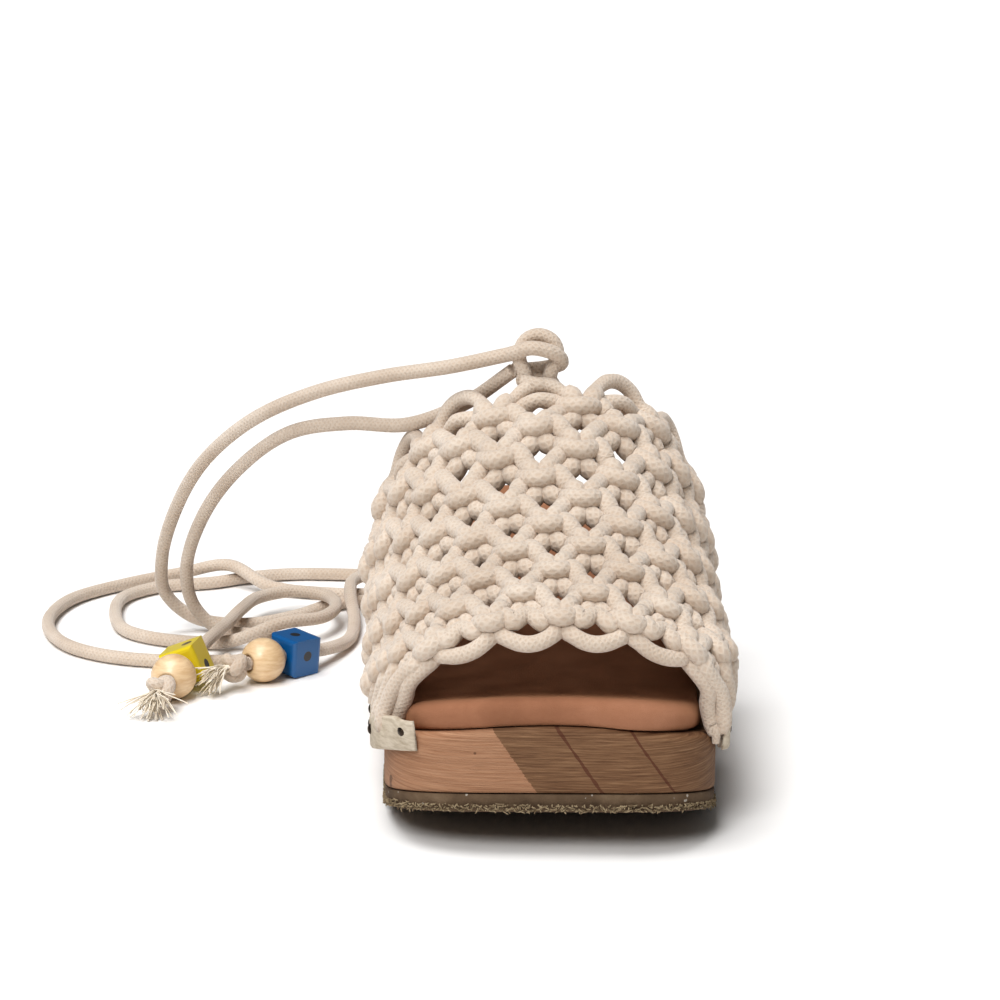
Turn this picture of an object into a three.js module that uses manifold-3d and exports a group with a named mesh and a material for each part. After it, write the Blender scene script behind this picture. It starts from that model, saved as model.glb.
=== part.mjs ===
// Open-toe mule clog for the right foot: a wall of alternating square knots in thick cotton
// cord on a wooden sole, with two long ties that end in beads.
// Millimetres, +Z up. The toe points to -Y, and +X is the inner side of the foot.
import * as THREE from 'three';
import { mergeVertices } from 'three/addons/utils/BufferGeometryUtils.js';
import Module from 'manifold-3d';

const wasm = await Module();
wasm.setup();

// Driving dimensions of the sole
const soleLength = 250;
const ballWidth = 97;
const toeSpring = 13;
const archLift = 5;
const heelBevel = 1.2;
const rubberThickness = 5.2;
const woodForefoot = 19;
const woodHeel = 37;
const woodCrown = 2.6;
const woodEdgeRound = 2.4;
const insoleThickness = 7;
const insoleMargin = 4.6;
const insoleRound = 4.6;
const soleBevel = 0.9;
const heelDish = 1.5;
const toeSkew = 0.05;
const seam = 0.3;

// Driving dimensions of the knotted upper
const cordDiameter = 4.5;
const instepHeight = 102;
const vampFront = 11;
const vampLength = 94;
const sideFront = 16;
const sideLength = 118;
const vampBulge = 4;
const ridgeShift = 3;
const toePitch = 18.5;
const collarPitch = 24.6;
const knotRise = 1.9;
const skirtThickness = 2.4;
const skirtDepth = 9;
const rimDrop = 1;

// Driving dimensions of the leather side strips
const stripThickness = 2.2;
const stripHeight = 13;
const stripDrop = 1.5;

// Driving dimensions of the throat knot, the ties' beads and their end knots
const eyeRadius = 5.4;
const knotCord = 2.6;
const cubeBead = 12.4;
const roundBead = 14.7;
const beadBore = 5.8;
const endKnot = 10.5;
const tuftLength = 6.5;
const beadGap = 0.4;

// Heights of a tie's middle line: on the floor, and where it passes over another stretch
const lyingLow = 2.5;
const lyingOver = 7.5;

// Outline of the sole: places along it as shares of its length, half widths as shares of the
// ball width to the inner and the outer side
const outlineTable = [
  { at: 0.00, inner: 0.480, outer: 0.480 },
  { at: 0.18, inner: 0.490, outer: 0.490 },
  { at: 0.30, inner: 0.500, outer: 0.500 },
  { at: 0.42, inner: 0.475, outer: 0.495 },
  { at: 0.54, inner: 0.420, outer: 0.460 },
  { at: 0.64, inner: 0.365, outer: 0.415 },
  { at: 0.74, inner: 0.330, outer: 0.385 },
  { at: 0.84, inner: 0.325, outer: 0.380 },
  { at: 1.00, inner: 0.325, outer: 0.380 },
];

// Lowest line of the sole: heights as shares of the toe spring, the arch lift and the heel bevel
const groundTable = [
  { at: 0.00, toe: 1.00, arch: 0.0, heel: 0.0 },
  { at: 0.06, toe: 0.70, arch: 0.0, heel: 0.0 },
  { at: 0.12, toe: 0.40, arch: 0.0, heel: 0.0 },
  { at: 0.18, toe: 0.14, arch: 0.0, heel: 0.0 },
  { at: 0.24, toe: 0.00, arch: 0.0, heel: 0.0 },
  { at: 0.46, toe: 0.00, arch: 0.0, heel: 0.0 },
  { at: 0.52, toe: 0.00, arch: 0.5, heel: 0.0 },
  { at: 0.58, toe: 0.00, arch: 1.0, heel: 0.0 },
  { at: 0.64, toe: 0.00, arch: 0.7, heel: 0.0 },
  { at: 0.70, toe: 0.00, arch: 0.0, heel: 0.0 },
  { at: 0.957, toe: 0.00, arch: 0.0, heel: 0.0 },
  { at: 1.00, toe: 0.00, arch: 0.0, heel: 1.0 },
];

// Top line of the wood above the floor: shares of the forefoot and heel thickness of the wood,
// and how much of the toe spring lifts it
const woodTable = [
  { at: 0.00, fore: 1.00, heel: 0.00, spring: 1.00 },
  { at: 0.12, fore: 1.00, heel: 0.00, spring: 0.44 },
  { at: 0.24, fore: 1.00, heel: 0.00, spring: 0.08 },
  { at: 0.34, fore: 1.00, heel: 0.00, spring: 0.00 },
  { at: 0.46, fore: 0.92, heel: 0.07, spring: 0.00 },
  { at: 0.58, fore: 0.55, heel: 0.43, spring: 0.00 },
  { at: 0.70, fore: 0.16, heel: 0.84, spring: 0.00 },
  { at: 0.80, fore: 0.00, heel: 0.99, spring: 0.00 },
  { at: 1.00, fore: 0.00, heel: 1.01, spring: 0.00 },
];

// Sections of the knotted wall, one for every second row of knots: how far back the crown and
// the sides lie as shares of the vamp and side lengths, the crown's height as a share of the
// instep height, the bulge over the sole to the outer and inner side, how square the arch is, and
// the crown's shift to the inner side and the rise towards it, which follow the instep's ridge
const wallTable = [
  { row: -1, crown: -0.055, side: -0.005, height: 0.575,
    outer: -0.70, inner: -0.60, square: 2.40, shift: 1, rise: 0 },
  { row: 0, crown: 0.000, side: 0.000, height: 0.629,
    outer: -0.40, inner: -0.20, square: 2.40, shift: 1, rise: 0 },
  { row: 2, crown: 0.225, side: 0.222, height: 0.694,
    outer: -0.50, inner: 0.30, square: 2.45, shift: 0.5, rise: 0.05 },
  { row: 4, crown: 0.450, side: 0.444, height: 0.770,
    outer: -0.10, inner: -0.10, square: 2.50, shift: 0, rise: 0.10 },
  { row: 6, crown: 0.680, side: 0.667, height: 0.858,
    outer: 0.15, inner: 0.17, square: 2.50, shift: -0.5, rise: 0.13 },
  { row: 8, crown: 0.890, side: 0.889, height: 0.970,
    outer: 0.87, inner: 1.15, square: 2.50, shift: -0.8, rise: 0.14 },
  { row: 9, crown: 0.990, side: 1.000, height: 0.998,
    outer: 1.65, inner: 1.95, square: 2.45, shift: -0.8, rise: 0.14 },
  { row: 10, crown: 1.085, side: 1.055, height: 1.075,
    outer: 1.75, inner: 2.05, square: 2.40, shift: -0.8, rise: 0.14 },
];

// Knots at the half-column places of each row run from minus to plus this number
const lastColumn = [4, 5, 6, 7, 8, 7, 8, 7, 8, 7];
const skirtColumn = 9;
const evenColumns = 5;

// Smooth reading of a column of a table, without overshoot between equal values
function read(table, key, place, column) {
  const rows = table.map((row) => [row[key], row[column]]);
  const last = rows.length - 1;
  let i = rows.findIndex((row, n) => n < last && place < rows[n + 1][0]);
  if (i < 0) i = last - 1;
  const slope = (n) => (rows[n + 1][1] - rows[n][1]) / (rows[n + 1][0] - rows[n][0]);
  const tangent = (n) => {
    if (n === 0) return slope(0);
    if (n === last) return slope(last - 1);
    const before = slope(n - 1);
    const after = slope(n);
    return before * after <= 0 ? 0 : (2 * before * after) / (before + after);
  };
  const step = rows[i + 1][0] - rows[i][0];
  const t = (place - rows[i][0]) / step;
  const h00 = 2 * t ** 3 - 3 * t ** 2 + 1;
  const h10 = t ** 3 - 2 * t ** 2 + t;
  const h01 = 3 * t ** 2 - 2 * t ** 3;
  const h11 = t ** 3 - t ** 2;
  return h00 * rows[i][1] + h10 * step * tangent(i) + h01 * rows[i + 1][1] + h11 * step * tangent(i + 1);
}

const mix = (a, b, t) => a + (b - a) * t;
const clamp = (value, low, high) => Math.min(Math.max(value, low), high);
const smooth = (t) => clamp(t, 0, 1) ** 2 * (3 - 2 * clamp(t, 0, 1));

// Outline of the sole with its rounded toe and heel ends
const toeCap = { reach: 0.18, power: 4, flat: 0.45 };
const heelCap = { reach: 0.16, power: 2.3, flat: 0.2 };

function capFactor(share) {
  const fromToe = (toeCap.reach - share) / toeCap.reach;
  const fromHeel = (share - 1 + heelCap.reach) / heelCap.reach;
  const cap = fromToe > 0 ? toeCap : heelCap;
  const t = clamp(Math.max(fromToe, fromHeel), 0, 1);
  return Math.max(cap.flat, (1 - t ** cap.power) ** (1 / cap.power));
}

// Half width to one side, where side is 1 for the inner and -1 for the outer side
function halfWidth(share, side, inset) {
  const width = ballWidth * read(outlineTable, 'at', share, side > 0 ? 'inner' : 'outer');
  return (width - inset) * capFactor(share);
}

// Distance from the toe tip, which leans forward on the inner side
function alongSole(share, x, inset) {
  const lean = toeSkew * clamp(1 - share / outlineTable[2].at, 0, 1);
  return inset + share * (soleLength - 2 * inset) - lean * x;
}

// Heights at a place of the plan, where y runs from the toe tip to the heel
function groundLine(x, y) {
  const share = clamp(y / soleLength, 0, 1);
  return toeSpring * read(groundTable, 'at', share, 'toe')
    + archLift * read(groundTable, 'at', share, 'arch')
    + heelBevel * read(groundTable, 'at', share, 'heel');
}

function woodTopLine(share) {
  return rubberThickness + seam
    + woodForefoot * read(woodTable, 'at', share, 'fore')
    + woodHeel * read(woodTable, 'at', share, 'heel')
    + toeSpring * read(woodTable, 'at', share, 'spring');
}

// Top of the wood, crowned at the toe and dished under the heel
function woodTop(x, y) {
  const share = clamp(y / soleLength, 0, 1);
  const across = clamp(x / halfWidth(share, Math.sign(x), 0), -1, 1);
  const toeShare = clamp(1 - share / outlineTable[4].at, 0, 1);
  return woodTopLine(share) - woodCrown * smooth(toeShare * 2) * across ** 2
    - heelDish * smooth((share - outlineTable[4].at) / heelCap.reach) * (1 - across ** 2);
}

// Turns points and triangles into a closed geometry whose faces point out
function closedGeometry(points, triangles) {
  const volume = triangles.reduce((sum, [a, b, c]) => {
    const [p, q, r] = [points[a], points[b], points[c]];
    return sum + p.dot(q.clone().cross(r));
  }, 0);
  const faces = volume > 0 ? triangles : triangles.map(([a, b, c]) => [a, c, b]);
  const geometry = new THREE.BufferGeometry();
  const flat = points.flatMap((p) => [p.x, p.y, p.z]);
  geometry.setAttribute('position', new THREE.Float32BufferAttribute(flat, 3));
  geometry.setIndex(faces.flat());
  geometry.computeVertexNormals();
  return geometry;
}

// Rows along the sole at which its slabs are cut, and strips across it
const soleRows = [0, 0.004, 0.014, 0.034, 0.07, 0.12, 0.18, 0.24, 0.32, 0.40, 0.46, 0.52, 0.58,
  0.64, 0.70, 0.77, 0.84, 0.885, 0.925, 0.957, 0.98, 0.994, 1];
const soleStrips = 6;

// A slab with the outline of the sole. Each level of its side has an inset from the outline and
// a rise from 0 at the bottom to 1 at the top
function soleSlab(levels, bottom, top) {
  const points = [];
  const triangles = [];
  const index = new Map();
  const lastRow = soleRows.length - 1;
  const vertex = (row, strip, level) => {
    const name = `${row},${strip},${level}`;
    if (!index.has(name)) {
      const share = soleRows[row];
      const { inset, rise } = levels[level];
      const across = 2 * strip / soleStrips - 1;
      const x = across * halfWidth(share, Math.sign(across), inset);
      const y = alongSole(share, x, inset);
      const z = mix(bottom(x, y), top(x, y), rise);
      index.set(name, points.push(new THREE.Vector3(x, y, z)) - 1);
    }
    return index.get(name);
  };
  const quad = (a, b, c, d) => triangles.push([a, b, c], [a, c, d]);
  for (let row = 0; row < lastRow; row++) {
    for (let strip = 0; strip < soleStrips; strip++) {
      const corners = [[row, strip], [row, strip + 1], [row + 1, strip + 1], [row + 1, strip]];
      quad(...corners.map(([r, s]) => vertex(r, s, levels.length - 1)));
      quad(...corners.map(([r, s]) => vertex(r, s, 0)).reverse());
    }
  }
  const rim = [];
  for (let strip = 0; strip < soleStrips; strip++) rim.push([0, strip]);
  for (let row = 0; row < lastRow; row++) rim.push([row, soleStrips]);
  for (let strip = soleStrips; strip > 0; strip--) rim.push([lastRow, strip]);
  for (let row = lastRow; row > 0; row--) rim.push([row, 0]);
  for (let level = 0; level < levels.length - 1; level++) {
    rim.forEach(([r, s], n) => {
      const [r2, s2] = rim[(n + 1) % rim.length];
      quad(vertex(r, s, level), vertex(r2, s2, level), vertex(r2, s2, level + 1), vertex(r, s, level + 1));
    });
  }
  return closedGeometry(points, triangles);
}

function outsole() {
  const levels = [{ inset: soleBevel, rise: 0 }, { inset: 0, rise: 0.25 }, { inset: 0, rise: 1 }];
  return soleSlab(levels, groundLine, (x, y) => groundLine(x, y) + rubberThickness);
}

function woodSole() {
  const levels = [
    { inset: soleBevel, rise: 0 },
    { inset: soleBevel / 3, rise: 0.06 },
    { inset: soleBevel / 3, rise: 0.84 },
    { inset: soleBevel / 3 + woodEdgeRound * 0.3, rise: 0.95 },
    { inset: soleBevel / 3 + woodEdgeRound, rise: 1 },
  ];
  return soleSlab(levels, (x, y) => groundLine(x, y) + rubberThickness + seam, woodTop);
}

function insole() {
  const levels = [
    { inset: insoleMargin + insoleRound * 0.43, rise: 0 },
    { inset: insoleMargin + insoleRound * 0.07, rise: 0.2 },
    { inset: insoleMargin, rise: 0.5 },
    { inset: insoleMargin + insoleRound * 0.17, rise: 0.8 },
    { inset: insoleMargin + insoleRound * 0.52, rise: 0.96 },
    { inset: insoleMargin + insoleRound, rise: 1 },
  ];
  const bottom = (x, y) => woodTop(x, y) + seam;
  return soleSlab(levels, bottom, (x, y) => bottom(x, y) + insoleThickness);
}

// Middle surface of the knotted wall. A section is an arch from the crown at 0 to the edge of
// the sole at 1, on the side given by sign
const archSteps = 40;

function sideSpot(row, sign, outward) {
  const share = clamp((sideFront + sideLength * read(wallTable, 'row', row, 'side')) / soleLength, 0, 1);
  const x = sign * halfWidth(share, sign, -outward);
  return { x, y: alongSole(share, x, 0), share };
}

function archPoint(row, sign, angle) {
  const square = read(wallTable, 'row', row, 'square');
  const middle = skirtThickness / 2 + seam;
  const foot = sideSpot(row, sign, middle);
  const bulge = vampBulge * read(wallTable, 'row', row, sign > 0 ? 'inner' : 'outer');
  const shift = ridgeShift * read(wallTable, 'row', row, 'shift');
  const rise = read(wallTable, 'row', row, 'rise');
  const base = woodTop(foot.x, foot.y) - rimDrop;
  const top = instepHeight * read(wallTable, 'row', row, 'height');
  const out = Math.sin(angle) ** (2 / square);
  const up = Math.cos(angle) ** (2 / square);
  const bulged = Math.abs(foot.x) + bulge * (1 - smooth((0.3 - up) / 0.3));
  const crownY = vampFront + vampLength * read(wallTable, 'row', row, 'crown');
  const back = Math.abs(bulged * out / Math.abs(foot.x)) ** 2;
  const x = sign * bulged * out + shift * up;
  return new THREE.Vector3(x, mix(crownY, foot.y, clamp(back, 0, 1)), mix(base, top, up) + rise * x * up);
}

const archCache = new Map();
function arch(row, sign) {
  const name = `${row.toFixed(4)},${sign}`;
  if (!archCache.has(name)) {
    const line = [];
    for (let n = 0; n <= archSteps; n++) line.push(archPoint(row, sign, (n / archSteps) * Math.PI / 2));
    const lengths = [0];
    for (let n = 1; n <= archSteps; n++) {
      const step = Math.hypot(line[n].x - line[n - 1].x, line[n].z - line[n - 1].z);
      lengths.push(lengths[n - 1] + step);
    }
    archCache.set(name, { line, lengths });
  }
  return archCache.get(name);
}

// Point of the middle surface at a row and a half-column, both of which may be fractions
function wallPoint(row, column) {
  const sign = column < 0 ? -1 : 1;
  const { line, lengths } = arch(row, sign);
  const whole = lengths[archSteps];
  const pitch = mix(toePitch, collarPitch, row / 9) / 2;
  const even = Math.min(Math.abs(column), evenColumns) * pitch;
  const rest = Math.max(Math.abs(column) - evenColumns, 0) / (skirtColumn - evenColumns);
  const place = clamp(even + rest * (whole - evenColumns * pitch), 0, whole);
  let n = lengths.findIndex((length) => length > place) - 1;
  if (n < 0) n = archSteps - 1;
  const t = (place - lengths[n]) / (lengths[n + 1] - lengths[n]);
  return line[n].clone().lerp(line[n + 1], t);
}

function wallNormal(row, column) {
  const small = 0.05;
  const inRow = wallPoint(row, column + small).sub(wallPoint(row, column - small));
  const alongRow = wallPoint(row + small, column).sub(wallPoint(row - small, column));
  return inRow.cross(alongRow).normalize();
}

// Heights of the wall's two faces from its middle surface: at a knot, on an arm between two
// knots, on the slope to a gap and at the gap's rim
const relief = {
  knot: { out: cordDiameter / 2 + knotRise, in: cordDiameter / 2 + knotRise / 2 },
  arm: { out: cordDiameter * 0.56, in: cordDiameter * 0.45 },
  slope: { out: cordDiameter * 0.7, in: cordDiameter * 0.4 },
  rim: { out: cordDiameter * 0.3, in: cordDiameter * 0.3 },
  loop: { out: cordDiameter * 0.42, in: cordDiameter * 0.42 },
  skirt: { out: skirtThickness / 2, in: skirtThickness / 2 },
};

const hasKnot = (row, column) => (row + column) % 2 === 0
  && ((row === -1 && Math.abs(column) <= 3) || (row === 10 && Math.abs(column) <= 6)
    || (row >= 0 && row <= 9 && Math.abs(column) <= lastColumn[row]));

// The knotted wall: a net of knots with a gap between every four of them, loops along the toe
// and the collar, and a thin skirt on each side that goes down beside the wood
function upper() {
  const points = [];
  const index = new Map();
  const outerFaces = [];
  const innerFaces = [];

  const place = (name, position, normal, height) => {
    if (!index.has(name)) {
      const out = position.clone().addScaledVector(normal, height.out);
      const inside = position.clone().addScaledVector(normal, -height.in);
      index.set(name, points.push(out, inside) - 2);
    }
    return name;
  };
  const spot = (row, column, kind) => {
    const name = `${row.toFixed(3)},${column.toFixed(3)}`;
    return place(name, wallPoint(row, column), wallNormal(row, column), relief[kind]);
  };
  const knotSpot = (row, column) => spot(row, column, row < 0 || row > 9 ? 'loop' : 'knot');
  const armSpot = (row, column, row2, column2) => {
    const free = row < 0 || row > 9 || row2 < 0 || row2 > 9;
    const bow = free ? 0.22 * Math.sign((row + row2) / 2 - 4.5) : 0;
    return spot((row + row2) / 2 + bow, (column + column2) / 2, free ? 'loop' : 'arm');
  };
  const fan = (faces, ringA, ringB) => {
    ringA.forEach((a, n) => {
      const m = (n + 1) % ringA.length;
      faces.push([a, ringA[m], ringB[m]], [a, ringB[m], ringB[n]]);
    });
  };

  for (let row = 0; row <= 9; row++) {
    for (let column = -8; column <= 8; column++) {
      const corners = [[row, column + 1], [row + 1, column], [row, column - 1], [row - 1, column]];
      if ((row + column) % 2 === 0 || !corners.every(([r, c]) => hasKnot(r, c))) continue;
      const edge = corners.flatMap(([r, c], n) => {
        const [r2, c2] = corners[(n + 1) % 4];
        return [knotSpot(r, c), armSpot(r, c, r2, c2)];
      });
      const ring = (share, kind) => corners.flatMap(([r, c], n) => {
        const [r2, c2] = corners[(n + 1) % 4];
        const reach = (r > 9 || r < 0) && kind === 'rim' ? share * 1.7 : share;
        const diagonal = share * 0.78;
        return [
          spot(row + (r - row) * reach, column + (c - column) * reach, kind),
          spot(row + (r + r2 - 2 * row) * diagonal, column + (c + c2 - 2 * column) * diagonal, kind),
        ];
      });
      const slope = ring(0.6, 'slope');
      const rim = ring(0.3, 'rim');
      fan(outerFaces, edge, slope);
      fan(outerFaces, slope, rim);
      fan(innerFaces, edge, rim);
    }
  }

  // Skirts: from the zigzag of the outermost knots down to the sole's edge and beside the wood
  for (const sign of [-1, 1]) {
    const levels = [];
    for (let row = 0; row <= 9; row++) {
      levels.push([row, lastColumn[row], knotSpot(row, sign * lastColumn[row])]);
      if (row < 9) {
        const name = armSpot(row, sign * lastColumn[row], row + 1, sign * lastColumn[row + 1]);
        levels.push([row + 0.5, (lastColumn[row] + lastColumn[row + 1]) / 2, name]);
      }
    }
    const columns = levels.map(([row, column, name]) => {
      const low = spot(row, sign * mix(column, skirtColumn, 0.72), 'arm');
      const foot = sideSpot(row, sign, skirtThickness / 2 + seam);
      const level = new THREE.Vector3(sign, 0, 0);
      const turn = woodTop(foot.x, foot.y) - rimDrop;
      const line = [turn, turn - skirtDepth].map((z) => new THREE.Vector3(foot.x, foot.y, z));
      return [name, low, ...line.map((p, n) => place(`skirt ${sign} ${row} ${n}`, p, level, relief.skirt))];
    });
    for (let n = 0; n < columns.length - 1; n++) {
      for (let k = 0; k < 3; k++) {
        const corners = [columns[n][k], columns[n + 1][k], columns[n + 1][k + 1], columns[n][k + 1]];
        const [a, b, c, d] = sign < 0 ? corners : corners.reverse();
        outerFaces.push([a, b, c], [a, c, d]);
        innerFaces.push([a, b, c], [a, c, d]);
      }
    }
  }

  const triangles = outerFaces.map((names) => names.map((name) => index.get(name)));
  innerFaces.forEach((names) => triangles.push(names.map((name) => index.get(name) + 1).reverse()));
  const edges = new Set(outerFaces.flatMap(([a, b, c]) => [`${a}|${b}`, `${b}|${c}`, `${c}|${a}`]));
  edges.forEach((name) => {
    const [a, b] = name.split('|');
    if (edges.has(`${b}|${a}`)) return;
    const [p, q] = [index.get(a), index.get(b)];
    triangles.push([q, p, p + 1], [q, p + 1, q + 1]);
  });
  return closedGeometry(points, triangles);
}

// A leather strip along one side of the wood, over the skirt of the upper
function sideStrip(sign) {
  const steps = 16;
  const innerGap = skirtThickness + 2 * seam;
  const from = sideFront / soleLength;
  const to = (sideFront + sideLength) / soleLength;
  const profile = [
    { out: innerGap, up: 0 },
    { out: innerGap + stripThickness * 0.6, up: 0.02 },
    { out: innerGap + stripThickness, up: 0.12 },
    { out: innerGap + stripThickness, up: 0.9 },
    { out: innerGap + stripThickness * 0.6, up: 1 },
    { out: innerGap, up: 0.98 },
  ];
  const points = [];
  const triangles = [];
  for (let n = 0; n <= steps; n++) {
    const share = mix(from, to, n / steps);
    profile.forEach(({ out, up }) => {
      const x = sign * halfWidth(share, sign, -out);
      const y = alongSole(share, x, 0);
      const top = woodTop(x, y) - stripDrop;
      points.push(new THREE.Vector3(x, y, top - stripHeight * (1 - up)));
    });
  }
  const sides = profile.length;
  for (let n = 0; n < steps; n++) {
    for (let k = 0; k < sides; k++) {
      const [a, b] = [n * sides + k, n * sides + (k + 1) % sides];
      triangles.push([a, b, b + sides], [a, b + sides, a + sides]);
    }
  }
  const end = steps * sides;
  for (let k = 1; k < sides - 1; k++) {
    triangles.push([0, k + 1, k], [end, end + k, end + k + 1]);
  }
  return closedGeometry(points, triangles);
}

// Routes of the two ties, measured from the toe tip and the middle of the ball. Both leave the
// throat knot to the outer side, arch down to the floor and lie there in loose loops, partly
// behind the heel. The last two points are the cube bead's middle and the round bead's far face
const tieARoute = [
  [-11.1, 116.8, 118.4], [-29, 121, 113.8], [-50, 132, 108.6], [-72, 145, 101], [-93, 160, 89.2],
  [-111, 178, 71.5], [-123, 197, 50.5], [-130, 213, 29], [-130, 221.5, 14.5], [-120.5, 224.5, 5],
  [-103, 223.5, 2.9], [-86, 235.5, lyingLow], [-73, 251, lyingLow], [-52, 257, lyingLow],
  [26, 257, lyingLow], [38, 262, lyingLow], [43, 274, lyingLow], [38, 286, lyingLow],
  [26, 291, lyingLow], [-56, 291, lyingLow], [-90, 293, lyingLow], [-106, 288.5, lyingLow],
  [-120, 280.5, lyingLow], [-138, 275, lyingLow], [-149.5, 261, lyingLow], [-150, 238, lyingLow],
  [-143, 216, lyingLow], [-127, 204.5, lyingLow], [-106, 200.5, 3.4], [-89, 204.6, lyingOver + 1],
  [-75.5, 216, lyingOver], [-71.5, 231, lyingOver], [-76, 244.5, lyingOver], [-88, 250, lyingOver],
  [-99, 242.5, lyingOver], [-103.8, 223, lyingOver + 1.1], [-107, 204, lyingOver + 1.4],
  [-111.8, 186, lyingOver + 0.7], [-116.2, 159.5, 8], [-120.8, 138.7, 7.1],
];

const tieBRoute = [
  [-10, 118.6, 113], [-25, 127, 101], [-43, 136, 92.5], [-62, 145, 91], [-81, 157, 85.5],
  [-100, 175.5, 69], [-114, 194, 48], [-121, 207.5, 27], [-119.5, 213.5, 12.5], [-111, 214.1, 3.7],
  [-96, 209.5, 2.8], [-84.5, 197.5, lyingLow], [-87.5, 185.5, lyingLow], [-100, 180, lyingLow],
  [-138, 182.5, lyingLow], [-160, 197, lyingLow], [-172, 226, lyingLow], [-168, 258, lyingLow],
  [-151, 279, lyingLow], [-132, 287.8, 4.2], [-114, 284.3, lyingOver + 0.7], [-98, 273, 3.2],
  [-77, 265.7, lyingLow], [-40, 264.5, lyingLow], [12.5, 264.6, lyingLow], [19.6, 267.5, lyingLow],
  [22.9, 274.6, lyingLow], [19.9, 282, lyingLow], [12.5, 285, lyingLow], [0, 285, lyingLow],
  [-36, 283.7, 3],
  [-55.5, 280, lyingOver], [-66.5, 266, lyingOver + 0.2], [-67.5, 250, lyingOver],
  [-65, 228, 3], [-66, 204, lyingLow + 0.2], [-73.5, 183.5, 5.4], [-82, 174.4, 7], [-96.7, 159.4, 7.7],
];

const roundSides = 8;

function tie(route, steps) {
  const path = new THREE.CatmullRomCurve3(route.map((place) => new THREE.Vector3(...place)));
  const section = new THREE.Shape();
  for (let n = 0; n < roundSides; n++) {
    const angle = (n / roundSides) * 2 * Math.PI;
    const spot = [Math.cos(angle) * cordDiameter / 2, Math.sin(angle) * cordDiameter / 2];
    if (n === 0) section.moveTo(...spot);
    else section.lineTo(...spot);
  }
  return new THREE.ExtrudeGeometry(section, { steps, bevelEnabled: false, extrudePath: path });
}

// Manifold solid of a geometry, and back
function solidOf(geometry) {
  const bare = geometry.clone();
  bare.deleteAttribute('normal');
  bare.deleteAttribute('uv');
  const merged = mergeVertices(bare, 1e-4);
  return new wasm.Manifold(new wasm.Mesh({
    numProp: 3,
    vertProperties: new Float32Array(merged.attributes.position.array),
    triVerts: new Uint32Array(merged.index.array),
  }));
}

function geometryOf(solid) {
  const mesh = solid.getMesh();
  const geometry = new THREE.BufferGeometry();
  geometry.setAttribute('position', new THREE.BufferAttribute(mesh.vertProperties, 3));
  geometry.setIndex(new THREE.BufferAttribute(mesh.triVerts, 1));
  geometry.computeVertexNormals();
  return geometry;
}

const fuse = (geometries) => geometryOf(geometries.map(solidOf).reduce((a, b) => a.add(b)));

// The knot behind the collar's middle loop: a ring of cord with an eye, on a stem of two cords
function throatKnot() {
  const ring = new THREE.TorusGeometry(eyeRadius, knotCord, 8, 12).rotateX(Math.PI / 2);
  const stem = new THREE.SphereGeometry(1, 10, 6).scale(knotCord * 1.9, knotCord, eyeRadius * 1.2);
  const lump = new THREE.SphereGeometry(1, 8, 6).scale(knotCord * 1.6, knotCord * 1.35, knotCord * 1.5);
  stem.translate(0, 0, -eyeRadius * 1.25);
  lump.rotateY(0.6).translate(-eyeRadius * 0.3, 0, eyeRadius * 0.75);
  return fuse([ring, stem, lump]);
}

// Bead with its bore along Y
function roundBeadShape() {
  const radius = roundBead / 2;
  const bore = beadBore / 2;
  const turn = Math.acos(bore / radius);
  const arcSteps = 7;
  const profile = [];
  for (let n = 0; n <= arcSteps; n++) {
    const angle = mix(-turn, turn, n / arcSteps);
    profile.push(new THREE.Vector2(radius * Math.cos(angle), radius * Math.sin(angle)));
  }
  profile.push(profile[0].clone());
  return new THREE.LatheGeometry(profile, 12);
}

function cubeBeadShape() {
  const edge = cubeBead * 0.12;
  const half = cubeBead / 2 - edge;
  const face = new THREE.Shape();
  face.moveTo(-half, -half).lineTo(half, -half).lineTo(half, half).lineTo(-half, half);
  const options = { depth: 2 * half, bevelThickness: edge, bevelSize: edge, bevelSegments: 3 };
  const block = new THREE.ExtrudeGeometry(face, options).translate(0, 0, -half).rotateX(Math.PI / 2);
  const bore = new THREE.CylinderGeometry(beadBore / 2, beadBore / 2, cubeBead * 2, 12);
  return geometryOf(solidOf(block).subtract(solidOf(bore)));
}

// Knot at the end of a tie, with three frayed locks, along Y
function endKnotShape() {
  const ball = new THREE.SphereGeometry(endKnot / 2, 9, 7).scale(1, 0.9, 0.95);
  const locks = [-0.45, 0.05, 0.55].map((turn) => {
    const lock = new THREE.CylinderGeometry(endKnot * 0.13, endKnot * 0.24, tuftLength, 6);
    lock.translate(0, tuftLength / 2 + endKnot * 0.3, 0);
    return lock.rotateZ(turn);
  });
  return fuse([ball, ...locks]);
}

const clog = new THREE.Group();
const shoe = new THREE.Group();
clog.add(shoe);

function addPiece(name, geometry, color, roughness) {
  const piece = new THREE.Mesh(geometry, new THREE.MeshStandardMaterial({ color, roughness }));
  piece.name = name;
  shoe.add(piece);
  return piece;
}

addPiece('outsole', outsole(), 0x696050, 0.9);
addPiece('wood_sole', woodSole(), 0x96704f, 0.7);
addPiece('insole', insole(), 0xb9805c, 0.95);
addPiece('upper', upper(), 0xe1d2c1, 0.95);
addPiece('side_strip_outer', sideStrip(-1), 0xc8beaa, 0.8);
addPiece('side_strip_inner', sideStrip(1), 0xc8beaa, 0.8);

// The shoe stands with the middle of its box over the origin
const box = new THREE.Box3().setFromObject(shoe);
const centre = box.getCenter(new THREE.Vector3());
shoe.position.set(-centre.x, -centre.y, -box.min.z);

const cordColor = 0xe1d2c1;
const throatPlace = new THREE.Vector3(-2.5, 116.5, 118.6);
addPiece('throat_knot', throatKnot(), cordColor, 0.95).position.copy(throatPlace);

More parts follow.
